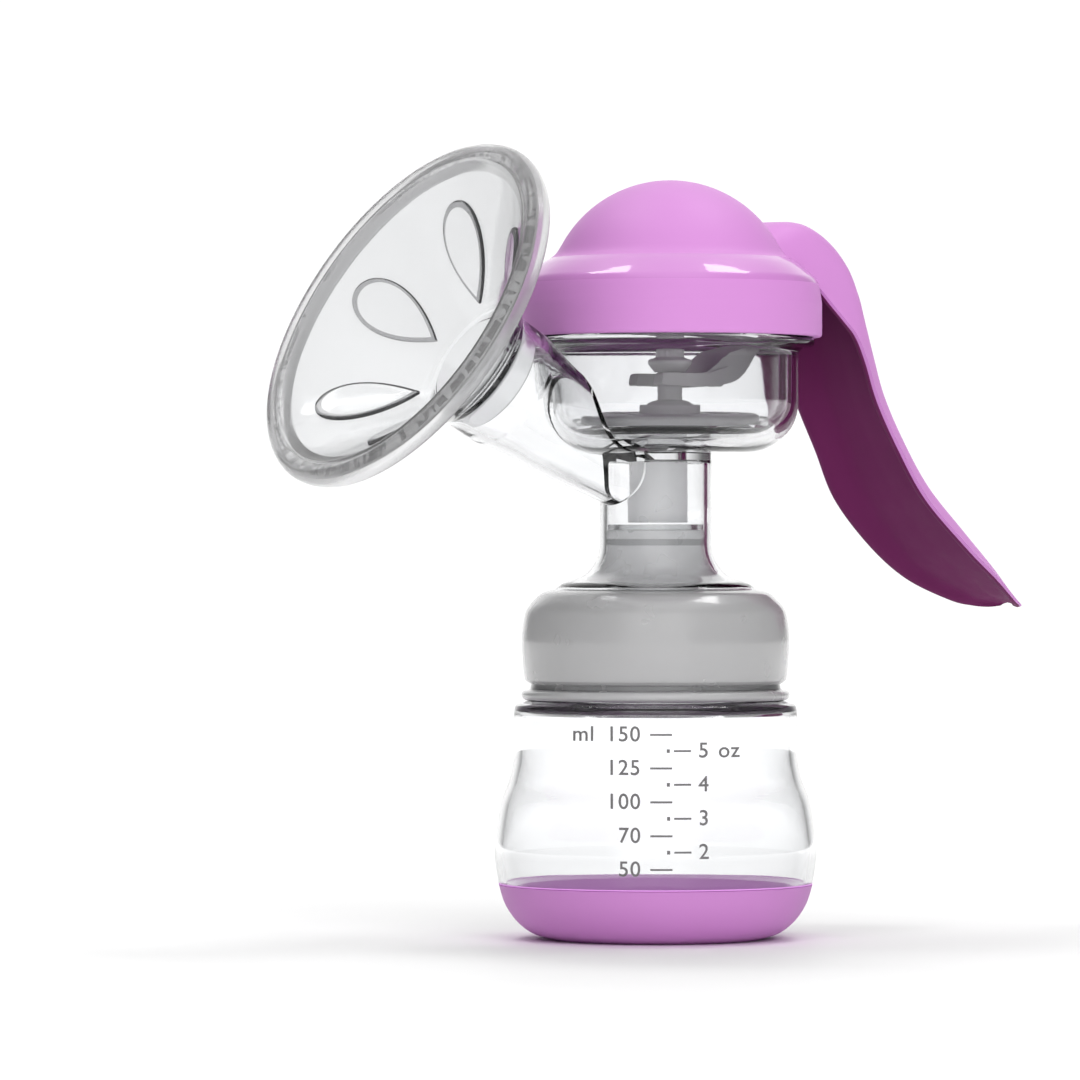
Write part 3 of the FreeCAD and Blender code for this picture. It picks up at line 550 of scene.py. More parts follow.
def make_bottle():
    seat = BOTTLE_SEAT
    low = inset(base_side(), seat)
    low = [(r, max(z, seat)) for r, z in low if z < BASE_TOP - 0.4]
    side = bottle_side()
    inner_side = list(reversed(inset(side, WALL)))
    inner_low = list(reversed([p for p in inset(low, WALL) if p[0] > 18]))
    shoulder_r = side[-1][0]
    shoulder = curve([side[-1], (shoulder_r - 0.35, SHOULDER_Z - 1.1),
                      (shoulder_r - 1.5, SHOULDER_Z - 0.25), (shoulder_r - 3.0, SHOULDER_Z)], 6)
    inner_shoulder = curve([(NECK_R - 3.0, SHOULDER_Z + 0.5), (NECK_R - 2.6, SHOULDER_Z - 1.0),
                            (NECK_R - 0.8, SHOULDER_Z - 1.8), (shoulder_r - 3.4, SHOULDER_Z - 2.0),
                            inner_side[0]], 6)
    outline = [(0.0, seat), (low[0][0], seat)] + low + [(BASE_R - seat, BASE_TOP + 0.15)]
    outline += side + shoulder[1:]
    outline += rounded([(NECK_R, SHOULDER_Z, 0.5), (NECK_R, MOUTH_Z, 0.6), (MOUTH_BORE, MOUTH_Z, 0.6)],
                       False, 4)[1:]
    outline += inner_shoulder + inner_side[1:] + inner_low + [(0.0, seat + WALL)]
    bottle = turned("bottle_shell", outline)
    rib = helical_rib("bottle_thread", NECK_R, NECK_R + THREAD_DEPTH, THREAD_Z)
    dress(bottle, "bottle_body", "clear_plastic", CLEAR_BOTTLE, LILAC_PAINTED_GLOW)
    # The bottle's outer faces below the base cup's rim take the glowing lilac: painted glow that lightens
    # the band seen through the clear bottle.
    for f in bottle.data.polygons:
        out = f.normal.x * f.center.x + f.normal.y * f.center.y
        if f.center.z < (BASE_TOP + 0.3) * MM and (out > 0 or f.normal.z < -0.5):
            f.material_index = 1
    dress(rib, "bottle_body", "clear_plastic", CLEAR_BOTTLE)
    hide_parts("bottle")


def on_bottle(piece):
    """Wraps a flat drawing, x across and y up in millimetres, onto the side of the bottle that faces the
    view, standing a little proud of it."""
    toward = Vector((-math.sin(VIEW_ANGLE), -math.cos(VIEW_ANGLE), 0))
    right = Vector((math.cos(VIEW_ANGLE), -math.sin(VIEW_ANGLE), 0))
    for vertex in piece.data.vertices:
        x, z, proud = vertex.co
        radius = bottle_radius(z) + proud
        angle = math.asin(max(-0.99, min(0.99, x / radius)))
        point = toward * (radius * math.cos(angle)) + right * (radius * math.sin(angle))
        vertex.co = (point.x * MM, point.y * MM, z * MM)
    return piece


def drawing(name, polygons, proud=(-0.25, 0.16)):
    """Flat closed polygons as thin raised solids, to be wrapped."""
    bm = bmesh.new()
    for polygon in polygons:
        low = [bm.verts.new((x, y, proud[0])) for x, y in polygon]
        high = [bm.verts.new((x, y, proud[1])) for x, y in polygon]
        bm.faces.new(list(reversed(low)))
        bm.faces.new(high)
        count = len(polygon)
        for i in range(count):
            n = (i + 1) % count
            bm.faces.new((low[i], low[n], high[n], high[i]))
    mesh = bpy.data.meshes.new(name)
    bm.to_mesh(mesh)
    bm.free()
    return link(name, mesh)


def lettering(name, text, x, y, height, align="LEFT"):
    """Raised generic lettering as a mesh, in millimetres, before it is wrapped."""
    font = bpy.data.curves.new(name, "FONT")
    font.body = text
    font.size = height / 0.70
    font.align_x = align
    font.align_y = "CENTER"
    font.extrude = 0.2
    font.bevel_depth = 0.03
    font.space_character = 1.08
    writer = link(name, font)
    mesh = bpy.data.meshes.new_from_object(writer.evaluated_get(bpy.context.evaluated_depsgraph_get()))
    bpy.data.objects.remove(writer, do_unlink=True)
    mesh.transform(Matrix.Translation((x, y, 0)))
    return link(name, mesh)


def bar(x0, x1, y, thick):
    steps = 6
    top = [(x0 + (x1 - x0) * i / steps, y + thick / 2) for i in range(steps + 1)]
    bottom = [(x, y - thick / 2) for x, _ in reversed(top)]
    return bottom[::-1] + top[::-1]


def make_scale():
    """Moulded measuring scale: millilitres at the left and ounces at the right."""
    ml_marks = (150, 125, 100, 70, 50)
    oz_marks = (5, 4, 3, 2)
    ml_top, oz_top, step = 46.9, 43.3, 7.43
    text_h = 3.35
    pieces = []
    for i, value in enumerate(ml_marks):
        pieces.append(lettering(f"scale_ml_{value}", str(value), -3.9, ml_top - step * i, text_h, "RIGHT"))
    for i, value in enumerate(oz_marks):
        pieces.append(lettering(f"scale_oz_{value}", str(value), 8.9, oz_top - step * i, text_h))
    pieces.append(lettering("scale_ml", "ml", -19.0, ml_top, text_h))
    pieces.append(lettering("scale_oz", "oz", 13.4, oz_top, text_h))
    ticks = [bar(-1.8, 3.1, ml_top - step * i, 0.42) for i in range(len(ml_marks))]
    ticks += [bar(3.5, 7.3, oz_top - step * i, 0.42) for i in range(len(oz_marks))]
    ticks += [bar(1.9, 2.6, oz_top - step * i, 0.8) for i in range(len(oz_marks))]
    pieces.append(drawing("scale_ticks", ticks))
    for piece in pieces:
        on_bottle(piece)
        dress(piece, "bottle_body", "clear_plastic", PRINT)


# ---- adapter -------------------------------------------------------------------------------------------
def flare_side():
    spread_r = FLARE_R - TUBE_R
    shares = ((1.0, 0.0), (0.85, 0.14), (0.39, 0.31), (0.19, 0.49), (0.08, 0.67), (0.02, 0.84), (0.0, 1.0))
    return curve([(TUBE_R + a * spread_r, FLARE_Z + b * FLARE_H) for a, b in shares], 6)


def make_adapter():
    low = COLLAR_Z
    deck = GASKET_TOP
    deck_top = deck + DECK
    spigot = TUBE_R - TUBE_WALL - 0.1
    bore = spigot - 1.6
    inner = COLLAR_R - 3.9
    root = [p for p in inset(flare_side(), TUBE_WALL + 0.2) if p[1] > deck_top + 1.2]
    collar = curve([(COLLAR_R - 2.4, low + 3.5), (COLLAR_R - 1.3, low + 4.1), (COLLAR_R - 0.6, low + 5.6),
                    (COLLAR_R - 0.15, low + 13.5), (COLLAR_R - 0.75, low + 18.6),
                    (COLLAR_R - 1.6, low + 20.9), (COLLAR_R - 3.6, FLARE_Z - 1.6),
                    (FLARE_R + 2.6, FLARE_Z - 0.5), (FLARE_R + 0.3, FLARE_Z + 0.1)], 8)
    bead = [(inner, low), (COLLAR_R - 0.8, low)] + arc((COLLAR_R - 1.1, low + 1.1), 1.1, -90, 90, 10)
    side = bead + [(COLLAR_R - 2.4, low + 2.5)] + collar
    side += [(FLARE_R + 0.2, deck_top), (root[0][0], deck_top)]
    side += root + rounded([(spigot, FLARE_Z + FLARE_H), (spigot, SPIGOT_Z, 0.5), (bore, SPIGOT_Z, 0.4),
                            (bore, deck), (inner, deck, 0.8)], False)
    piece = turned("adapter_shell", side)
    rib = helical_rib("adapter_thread", inner, inner - THREAD_DEPTH, THREAD_Z + THREAD_PITCH / 2)
    dress(piece, "pump", "frosted_plastic", FROSTED, MILKY_PAINTED_GLOW)
    # Faces above the flare, on the spigot, take the milky plastic with its painted glow.
    for f in piece.data.polygons:
        if f.center.z > (FLARE_Z + 0.2) * MM:
            f.material_index = 1
    dress(rib, "pump", "frosted_plastic", FROSTED)
    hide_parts("bottle_adapter")


# ---- pump body -----------------------------------------------------------------------------------------
def cone_r(depth, thickness):
    return THROAT_R + math.tan(CONE_HALF) * (THROAT_DEPTH - depth) + thickness / math.cos(CONE_HALF)


def cone_depth(radius, thickness):
    return THROAT_DEPTH + (THROAT_R + thickness / math.cos(CONE_HALF) - radius) / math.tan(CONE_HALF)


def milk_tube(inward, end):
    start = THROAT_R + SLEEVE_WALL + CUSHION_GAP + MILK_TUBE_WALL
    span = FUNNEL_REACH - SLEEVE_DEPTH
    shares = ((1.0, 0.08), (0.88, 0.26), (0.81, 0.46), (0.62, 0.79), (0.56, end))
    return curve([(start * a - inward, -(SLEEVE_DEPTH + b * span)) for a, b in shares], 6)


def chamber_side(inward, low):
    r = CHAMBER_R - inward
    corner = CORNER - inward
    return [(0.0, low)] + arc((r - corner, low + corner), corner, -90, 0, 14)


def make_pump_neck(flare, deck_top):
    """Flared neck and its bore, both about the bottle's axis."""
    wall_r = TUBE_R - TUBE_WALL
    foot = rounded([(0.0, deck_top), (FLARE_R, deck_top, 0.4)], False) + [(FLARE_R, FLARE_Z - 0.4)]
    neck = turned("pump_shell", foot + flare + [(TUBE_R, CHAMBER_Z + 1.2), (0.0, CHAMBER_Z + 1.2)])
    flare_in = [p for p in inset(flare, TUBE_WALL) if p[1] > deck_top + 0.5]
    bore = turned("neck_bore", [(0.0, deck_top - 1), (flare_in[0][0], deck_top - 1)] + flare_in
                  + rounded([(wall_r, 96.0), (wall_r, RISER_TOP, 0.8), (0.0, RISER_TOP)], False))
    return neck, bore


def make_chamber():
    """Outside of the suction chamber, a solid that fills it, and its hollow."""
    rim = [(CHAMBER_R, RIM_Z - 5.5)] + arc((CHAMBER_R + 1.9, RIM_Z - 4.3), 1.9, 180, 90, 8)
    rim += arc((RIM_R - 1.0, RIM_Z - 1.15), 1.0, -80, 80, 8)
    rim += [(SPOUT_R, RIM_Z), (SPOUT_R, SPOUT_TOP), (0.0, SPOUT_TOP)]
    outer = turned("chamber_outer", chamber_side(0, CHAMBER_Z) + rim, CHAMBER_X)
    keep = turned("chamber_keep", chamber_side(0.001, CHAMBER_Z + 0.001)
                  + [(CHAMBER_R, SPOUT_TOP), (0.0, SPOUT_TOP)], CHAMBER_X)
    hollow = turned("chamber_inner", chamber_side(CHAMBER_WALL, CHAMBER_Z + CHAMBER_FLOOR)
                    + [(CHAMBER_R - CHAMBER_WALL, SPOUT_TOP + 1), (0.0, SPOUT_TOP + 1)], CHAMBER_X)
    return outer, keep, hollow


def make_funnel():
    """Funnel with its milk tube, and the bore through both, on the funnel's axis."""
    outside = FUNNEL_WALL + CUSHION_WALL + CUSHION_GAP
    inside = CUSHION_WALL + CUSHION_GAP
    bore_r = THROAT_R + SLEEVE_WALL + CUSHION_GAP
    tube_r = bore_r + MILK_TUBE_WALL
    rim_back = max(cone_depth(FUNNEL_RIM_R, outside), RIM_DEPTH + 0.8)
    throat = cone_depth(tube_r, outside)
    tube = milk_tube(0, 0.96)
    blend = curve([(cone_r(throat - 3.0, outside), -(throat - 3.0)), (tube_r + 1.3, -(throat - 0.2)),
                   (tube_r + 0.2, -(throat + 1.8)), tube[0]], 6)
    cone = rounded([(0.0, -RIM_DEPTH), (FUNNEL_RIM_R, -RIM_DEPTH, 0.4), (FUNNEL_RIM_R, -rim_back, 0.4),
                    (cone_r(rim_back + 1, outside), -(rim_back + 1))], False)
    outer = turned("funnel_outer", cone + blend[:-1] + tube + [(0.0, tube[-1][1])],
                   steps=FUNNEL_STEPS, place=funnel_place())
    milk_bore = milk_tube(MILK_TUBE_WALL, 0.94)
    mouth = [(0.0, 1.0), (cone_r(-1, inside), 1.0), (bore_r, -cone_depth(bore_r, inside))]
    bore = turned("funnel_bore", mouth + milk_bore + [(0.0, milk_bore[-1][1])],
                  steps=FUNNEL_STEPS, place=funnel_place())
    return outer, bore


def make_pump_body():
    neck, neck_bore = make_pump_neck(flare_side(), GASKET_TOP + DECK)
    chamber, keep, hollow = make_chamber()
    funnel, funnel_bore = make_funnel()
    riser_in = RISER_R - RISER_WALL
    riser_bore = turned("riser_bore", [(0.0, 93.0), (riser_in, 93.0), (riser_in, CHAMBER_Z + 8),
                                       (0.0, CHAMBER_Z + 8)], RISER_X, 96)
    combine(funnel_bore, "DIFFERENCE", keep)
    combine(neck, "UNION", chamber)
    combine(neck, "UNION", funnel)
    for cut in (neck_bore, funnel_bore, hollow):
        combine(neck, "DIFFERENCE", cut)
    body = combine(neck, "DIFFERENCE", riser_bore, sharp=28)
    dress(body, "pump", "clear_plastic", CLEAR)
    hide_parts("pump_body")
    top = RISER_TOP - 0.05
    riser_side = [(riser_in, RISER_Z, 0.4), (RISER_R, RISER_Z, 0.4), (RISER_R, top), (riser_in, top)]
    riser = turned("riser_shell", rounded(riser_side), RISER_X, 96)
    # The riser is milky too, with the same painted glow.
    dress(riser, "pump", "clear_plastic", MILKY_PAINTED_GLOW)


# ---- cushion -------------------------------------------------------------------------------------------
PETALS = 6
PETAL_TURN = math.radians(13)
PETAL_IN = 14.0
PETAL_OUT = 32.5
PETAL_HALF = 6.6
PETAL_STEPS = 72
FACE_DEPTH = 2.75        # depth at which the cushion's cone runs into its lip
LINER_BACK_R = 42.15


def petal(name, angle):
    """Raised teardrop pad on the cushion's face, pointed end inward."""
    middle = (PETAL_IN + PETAL_OUT) / 2
    reach = (PETAL_OUT - PETAL_IN) / 2
    count = PETAL_STEPS
    outline = []
    for k in range(count):
        t = 2 * math.pi * k / count
        outline.append((-reach * math.cos(t), PETAL_HALF * 1.18 * math.sin(t) * math.sin(t / 2) ** 0.9))
    levels = ((1.0, -0.5), (1.0, 0.55), (0.985, 0.78), (0.95, 0.9), (0.87, 0.95), (0.6, 0.95),
              (0.3, 0.95))
    bm = bmesh.new()

    def at(along, across, rise):
        r = middle + along
        turn = angle + across / r
        r -= rise * math.cos(CONE_HALF)
        z = -cone_depth(middle + along, 0) + rise * math.sin(CONE_HALF)
        return bm.verts.new((r * math.cos(turn), r * math.sin(turn), z))

    rings = [[at(x * share, y * share, rise) for x, y in outline] for share, rise in levels]
    for a, b in zip(rings, rings[1:]):
        for k in range(count):
            n = (k + 1) % count
            bm.faces.new((a[k], a[n], b[n], b[k]))
    for ring, rise in ((rings[0], levels[0][1]), (rings[-1], levels[-1][1])):
        hub = at(0, 0, rise)
        for k in range(count):
            bm.faces.new((ring[k], ring[(k + 1) % count], hub))
    return finish_mesh(name, bm, 50, funnel_place())


def make_cushion():
    face_r = cone_r(FACE_DEPTH, 0)
    sleeve_r = THROAT_R + SLEEVE_WALL
    rows = 12
    inner = []
    for i in range(rows + 1):
        r = THROAT_R + (face_r - THROAT_R) * i / rows
        inner.append((r, -cone_depth(r, 0)))
    lip_r = LIP_R - 0.05
    lip = curve([(face_r, -FACE_DEPTH), (face_r + 1.3, -1.35), (face_r + 2.3, -0.75), (face_r + 3.0, -0.9),
                 (face_r + 3.7, -0.35), (face_r + 5.0, -0.02), (lip_r - 0.9, -0.75), (lip_r, -2.5),
                 (lip_r - 0.2, -4.1), (lip_r - 0.6, -5.0)], 7)
    back = [(LINER_BACK_R, -5.0), (LINER_BACK_R, -RIM_DEPTH),
            (cone_r(RIM_DEPTH, CUSHION_WALL), -RIM_DEPTH)]
    back += [(sleeve_r, -cone_depth(sleeve_r, CUSHION_WALL)), (sleeve_r, -SLEEVE_DEPTH + 0.3),
             (THROAT_R + 0.8, -SLEEVE_DEPTH), (THROAT_R, -SLEEVE_DEPTH)]
    piece = turned("cushion_liner", inner + lip[1:] + back, steps=FUNNEL_STEPS, place=funnel_place(),
                   sharp=50)
    for k in range(PETALS):
        combine(piece, "UNION", petal(f"petal_{k}", PETAL_TURN + 2 * math.pi * k / PETALS), sharp=50)
    dress(piece, "funnel_liner", "clear_silicone", SILICONE, PETAL_EDGE_SHADE, SILICONE_LIP)
    back_to_axis = (Matrix.Scale(MM, 4) @ funnel_place()).inverted()
    for f in piece.data.polygons:
        x, y, z = back_to_axis @ f.center
        r = math.hypot(x, y)
        rise = (z + cone_depth(r, 0)) * math.sin(CONE_HALF)
        # The sloping sides of the petals take the dark grey silicone: painted shade outlining them.
        if 0.06 < rise < 0.93 and sleeve_r < r < face_r - 2:
            f.material_index = 1
        if r > face_r + 0.2:
            f.material_index = 2
    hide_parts("massage_cushion")


# ---- cap -----------------------------------------------------------------------------------------------
DOME_Z = CAP_TOP - DOME_R
SLOT_X = 22.9            # the handle's slot starts here and runs out through the cap's back
SLOT_HALF_Y = 16.7
SLOT_Z = 144.5
GLOSS_LOW, GLOSS_HIGH = 148.0, 154.0     # the shoulder is polished between these heights


def cap_side(wall):
    foot_r = math.sqrt(DOME_R ** 2 - (DOME_FOOT - DOME_Z) ** 2)
    side = curve([(CAP_R, 143.6), (CAP_R - 0.45, 146.6), (CAP_R - 1.15, 148.9), (CAP_R - 2.6, 150.5),
                  (CAP_R - 5.3, 152.75), (CAP_R - 8.3, 154.7), (foot_r, DOME_FOOT)], 8)
    if wall:
        side = inset(side, wall)
    radius = DOME_R - wall
    start = math.degrees(math.atan2(side[-1][1] - DOME_Z, side[-1][0]))
    dome = arc((0.0, DOME_Z), radius, start + 2.0, 90, 24)
    dome[-1] = (0.0, DOME_Z + radius)
    return side + dome


def make_cap():
    foot = CAP_FOOT
    inner_r = CAP_R - CAP_WALL
    outer = rounded([(inner_r, foot, 0.5), (CAP_R, foot, 0.7), (CAP_R, SKIRT_TOP)], False) + cap_side(0)
    inner = list(reversed(cap_side(CAP_WALL))) + [(inner_r, foot + 1)]
    shell = turned("cap_shell", outer + inner, CHAMBER_X)
    slot = block("cap_slot", (SLOT_X, -SLOT_HALF_Y, SLOT_Z), (48.0, SLOT_HALF_Y, 176.0), 1.5)
    relief = block("cap_relief", (PIN_X, -9.5, BEAD_TOP + 1.2), (48.0, 9.5, 146.0), 0.4)
    cap = combine(shell, "DIFFERENCE", slot, relief)
    dress(cap, "cap", "lilac_plastic", LILAC, LILAC_GLOSS)
    for f in cap.data.polygons:
        if GLOSS_LOW * MM < f.center.z < GLOSS_HIGH * MM:
            f.material_index = 1
    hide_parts("dome_cap")
    clamp_r, clamp_top = 27.2, BEAD_TOP + 1.2
    clamp_side = [(clamp_r, BEAD_TOP, 0.3), (inner_r, BEAD_TOP), (inner_r, clamp_top),
                  (clamp_r, clamp_top, 0.3)]
    clamp = turned("cap_clamp", rounded(clamp_side), CHAMBER_X)
    dress(clamp, "cap", "lilac_plastic", LILAC)
    ear_r = HINGE_EAR_R
    outline = [(PIN_X - ear_r, BEAD_TOP + 1.0), (PIN_X + 2.2, BEAD_TOP + 1.0)]
    outline += arc((PIN_X, PIN_Z), ear_r, -50, 180, 24)
    for side, (y0, y1) in {"near": (-12.0, -9.5), "far": (9.5, 12.0)}.items():
        ear = slab(f"cap_ear_{side}", outline, y0, y1, 0.3)
        dress(ear, "cap", "lilac_plastic", LILAC)


# ---- handle --------------------------------------------------------------------------------------------
# (back x, back z, edge x, edge z, width): the outer back in the mirror plane, the free edge of the side
# walls, and the width across those edges.
HANDLE_W = 32.0
HANDLE_STATIONS = (
    (24.5, 160.9, 24.0, 153.0, HANDLE_W - 1.0),
    (30.5, 162.6, 28.5, 150.5, HANDLE_W),
    (36.5, 162.2, 32.8, 148.6, HANDLE_W),
    (42.5, 159.0, 35.3, 146.8, HANDLE_W),
    (47.6, 153.9, 38.6, 143.6, HANDLE_W),
    (50.9, 147.5, 42.2, 140.2, HANDLE_W),
    (53.1, 140.0, 45.6, 136.6, HANDLE_W),
    (55.0, 132.5, 48.4, 131.0, HANDLE_W),
    (58.0, 123.5, 51.9, 121.8, HANDLE_W),
    (63.1, 113.4, 57.6, 111.2, HANDLE_W + 0.8),
    (69.3, 102.9, 64.3, 99.9, HANDLE_W + 3.6),
    (78.7, 92.6, 75.2, 89.1, HANDLE_W + 5.4),
    (87.5, 84.5, 85.3, 81.4, HANDLE_W + 3.5),
    (95.8, 79.0, 94.4, 76.4, HANDLE_W - 6.0),
    (99.6, 77.1, 98.4, 75.1, HANDLE_W - 12.5),
    (101.5, 76.1, 100.7, 74.7, HANDLE_W - 19.5),
    (102.3, 75.7, 101.9, 74.9, HANDLE_W - 26.0),
)
HANDLE_WALL = 2.2
HANDLE_FLARE = 5.5
CROWN = 0.35
FACE_STEPS = 32          # steps across each face of the channel
LIP_STEPS = 4            # steps round each free edge


def channel_loop(station):
    """Closed loop of the handle's section as (point, is_inner): the outer face from one free edge over
    the back to the other, then the inner face back again."""
    back_x, back_z, edge_x, edge_z, width = station
    depth = math.hypot(edge_x - back_x, edge_z - back_z)
    along = Vector(((edge_x - back_x) / depth, 0, (edge_z - back_z) / depth))
    lean = min(HANDLE_FLARE, 0.22 * width)
    top = width / 2 - lean
    wall = min(HANDLE_WALL, 0.5 * depth)

    def face(inward):
        """One side of the channel from the right free edge to the left, in (y, depth)."""
        corner = max(min(4.5, 0.55 * depth, 0.6 * top) - 0.4 * inward, 0.4)
        side = inward * math.hypot(lean, depth) / depth
        edge = width / 2 - side
        back = top + lean / depth * inward - side
        return resample(rounded([(edge, depth), (back, inward, corner), (0.0, inward - CROWN),
                                 (-back, inward, corner), (-edge, depth)], False, 7), FACE_STEPS)

    def at(y, d):
        return Vector((back_x, 0, back_z)) + along * d + Vector((0, y, 0))

    outer = face(0.0)
    inner = face(wall)[::-1]
    loop = []
    for run, follower, is_inner in ((outer, inner, False), (inner, outer, True)):
        loop += [(at(y, d), is_inner) for y, d in run]
        for i in range(1, LIP_STEPS):
            t = i / LIP_STEPS
            y = run[-1][0] * (1 - t) + follower[0][0] * t
            loop.append((at(y, depth + 0.45 * wall * math.sin(math.pi * t) * 0.6), True))
    return loop


def resample(run, count):
    """The run as count + 1 evenly spaced points."""
    lengths = [0.0]
    for a, b in zip(run, run[1:]):
        lengths.append(lengths[-1] + math.hypot(b[0] - a[0], b[1] - a[1]))
    points = []
    k = 0
    for i in range(count + 1):
        want = lengths[-1] * i / count
        while k < len(run) - 2 and lengths[k + 1] < want:
            k += 1
        span = lengths[k + 1] - lengths[k] or 1
        t = (want - lengths[k]) / span
        points.append(tuple(a + (b - a) * t for a, b in zip(run[k], run[k + 1])))
    return points


def make_handle():
    bm = bmesh.new()
    stations = curve(HANDLE_STATIONS, 9)
    rings = []
    flags = []
    for station in stations:
        loop = channel_loop(station)
        rings.append([bm.verts.new(point) for point, _ in loop])
        flags = [inner for _, inner in loop]
    count = len(flags)
    for a, b in zip(rings, rings[1:]):
        for i in range(count):
            n = (i + 1) % count
            f = bm.faces.new((a[i], a[n], b[n], b[i]))
            # Faces on the inner face of the channel take the dark plum: painted shade.
            f.material_index = 1 if flags[i] and flags[n] else 0
    half = FACE_STEPS + 1
    lip = LIP_STEPS - 1
    for ring in (rings[0], rings[-1]):
        outer = ring[:half]
        inner = ring[half + lip:2 * half + lip][::-1]
        for i in range(FACE_STEPS):
            bm.faces.new((outer[i], outer[i + 1], inner[i + 1], inner[i]))
        bm.faces.new([outer[-1]] + ring[half:half + lip] + [inner[-1]])
        bm.faces.new([inner[0]] + ring[-lip:] + [outer[0]])
    handle = finish_mesh("handle_shell", bm, 40)
    dress(handle, "squeeze_lever", "lilac_plastic", LILAC, LILAC_PAINTED_SHADE)
    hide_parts("handle")
    top = HANDLE_STATIONS[1][1] - 1.1
    ring_r = HINGE_EAR_R
    web = [(PIN_X - ring_r, PIN_Z)] + arc((PIN_X, PIN_Z), ring_r, 180, 360, 24)[1:]
    web += [(PIN_X + 6.0, top - 3.0), (PIN_X + 5.0, top), (PIN_X - ring_r, top)]
    for side, (y0, y1) in {"near": (-9.2, -6.2), "far": (6.2, 9.2)}.items():
        cheek = slab(f"handle_cheek_{side}", web, y0, y1, 0.3)
        dress(cheek, "squeeze_lever", "lilac_plastic", LILAC)
    bridge = block("handle_bridge", (PIN_X + 3.2, -6.4, PIN_Z + 5.5), (PIN_X + 6.0, 6.4, top))
    dress(bridge, "squeeze_lever", "lilac_plastic", LILAC)


# ---- lever arm, stem and diaphragm ---------------------------------------------------------------------
def make_lever():
    fork_top = FORK_Z + FORK_H
    lower = curve([(11.0, FORK_Z), (18.1, FORK_Z + 1.3), (22.5, FORK_Z + 4.9),
                   (PIN_X - 6.2, PIN_Z - 10.2), (PIN_X - 3.9, PIN_Z - 1.0)], 6)
    upper = curve([(PIN_X - 10.5, PIN_Z - 4.5), (17.2, fork_top + 6.0), (11.0, fork_top + 0.9),
                   (7.5, fork_top)], 6)
    web = lower + [(PIN_X + 1.0, PIN_Z + 3.8), (PIN_X - 6.5, PIN_Z + 3.8)] + upper[:-1]
    half_y = LEVER_HALF_Y
    arm = slab("lever_shell", web + [(11.0, fork_top - 0.2)], -half_y, half_y, 0.7)
    hub = rod("lever_hub", 4.0, -half_y, half_y, PIN_X, PIN_Z)
    tongue = block("lever_tongue", (PIN_X - 3.0, -half_y, PIN_Z), (PIN_X + 3.2, half_y, LEVER_TOP), 0.5)
    prong = rounded([(FORK_TIP, FORK_Z + 0.2, 0.5), (14.0, FORK_Z, 0.2), (16.5, fork_top + 1.8, 0.8),
                     (9.5, fork_top, 2.0), (FORK_TIP + 0.6, fork_top, 0.5)])
    prongs = [slab("fork_near", prong, -6.5, -3.2, 0.45), slab("fork_far", prong, 3.2, 6.5, 0.45)]
    for piece in [arm, hub, tongue] + prongs:
        dress(piece, "squeeze_lever", "grey_plastic", GREY)
    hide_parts("lever_arm")


def make_stem_group():
    boss_top = SUPPORT_TOP + 2.7
    head = FORK_Z + FORK_H + 0.3
    hub_r, hub_z = 9.0, DISC_TOP - 1.2
    disc_r = DISC_R - 2.2
    groove = SUPPORT_TOP - 0.5
    stem = turned("stem_shell", rounded([
        (0.0, hub_z), (hub_r, hub_z), (hub_r, DISC_TOP), (BOSS_R, DISC_TOP), (BOSS_R, boss_top, 0.9),
        (3.6, boss_top + 1.0, 0.8), (2.8, boss_top + 1.1, 0.3), (2.8, head), (3.5, head, 0.3),
        (5.0, head + 1.9, 0.4), (5.0, head + 2.7, 0.4), (3.2, head + 3.3, 0.4), (3.2, STEM_TOP - 1.0, 0.8),
        (2.0, STEM_TOP, 0.4), (0.0, STEM_TOP)], False), CHAMBER_X, 72)
    ring = turned("stem_ring_shell", rounded([
        (BOSS_R, SUPPORT_TOP), (6.9, SUPPORT_TOP), (6.9, SUPPORT_TOP + 2.4, 0.5),
        (BOSS_R, SUPPORT_TOP + 2.4, 0.2)]), CHAMBER_X, 72)
    disc = turned("support_shell", rounded([
        (BOSS_R, DISC_TOP), (disc_r, DISC_TOP), (disc_r, SUPPORT_TOP - 0.6, 0.4),
        (DISC_R - 2.8, SUPPORT_TOP, 0.4), (14.0, SUPPORT_TOP, 0.3), (13.6, groove, 0.3), (9.6, groove, 0.3),
        (9.2, SUPPORT_TOP, 0.3), (BOSS_R, SUPPORT_TOP)]), CHAMBER_X, 128)
    floor = turned("diaphragm_floor", rounded([
        (0.0, DISC_Z), (DISC_R - 0.3, DISC_Z, 0.8), (DISC_R, DISC_TOP, 0.2), (hub_r, DISC_TOP),
        (hub_r, hub_z), (0.0, hub_z)], False), CHAMBER_X, 128)
    dress(stem, "piston", "grey_plastic", GREY)
    dress(ring, "piston", "grey_plastic", GREY_PALE)
    dress(disc, "piston", "frosted_plastic", GREY_PALE)
    dress(floor, "piston", "clear_silicone", MEMBRANE)
    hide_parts("stem")
    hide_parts("stem_lock_ring")
    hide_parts("support_disc")
    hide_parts("diaphragm_base")


def make_diaphragm():
    gap, thick = 0.6, 1.5
    out_r = CHAMBER_R - CHAMBER_WALL - gap
    corner = CORNER - CHAMBER_WALL
    cx = CHAMBER_R - CHAMBER_WALL - corner
    cz = CHAMBER_Z + CHAMBER_FLOOR + corner
    edge = DISC_R + 0.05
    rows = 10

    def bend(radius):
        start = math.degrees(math.asin((edge - cx) / radius)) - 90
        return arc((cx, cz), radius, start, 0, 12)

    side = bend(corner - gap) + [(out_r, cz + (SPOUT_TOP - cz) * i / rows) for i in range(1, rows + 1)]
    side += rounded([(SPOUT_R, SPOUT_TOP, 0.2), (SPOUT_R, BEAD_TOP, 0.4)], False)
    side += [(out_r - thick, cz + (BEAD_TOP - cz) * (1 - i / rows)) for i in range(rows)]
    wall = turned("diaphragm_shell", side + bend(corner - gap - thick)[::-1], CHAMBER_X)
    wall.data.materials.append(MEMBRANE)
    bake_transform(wall)
    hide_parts("diaphragm_wall")


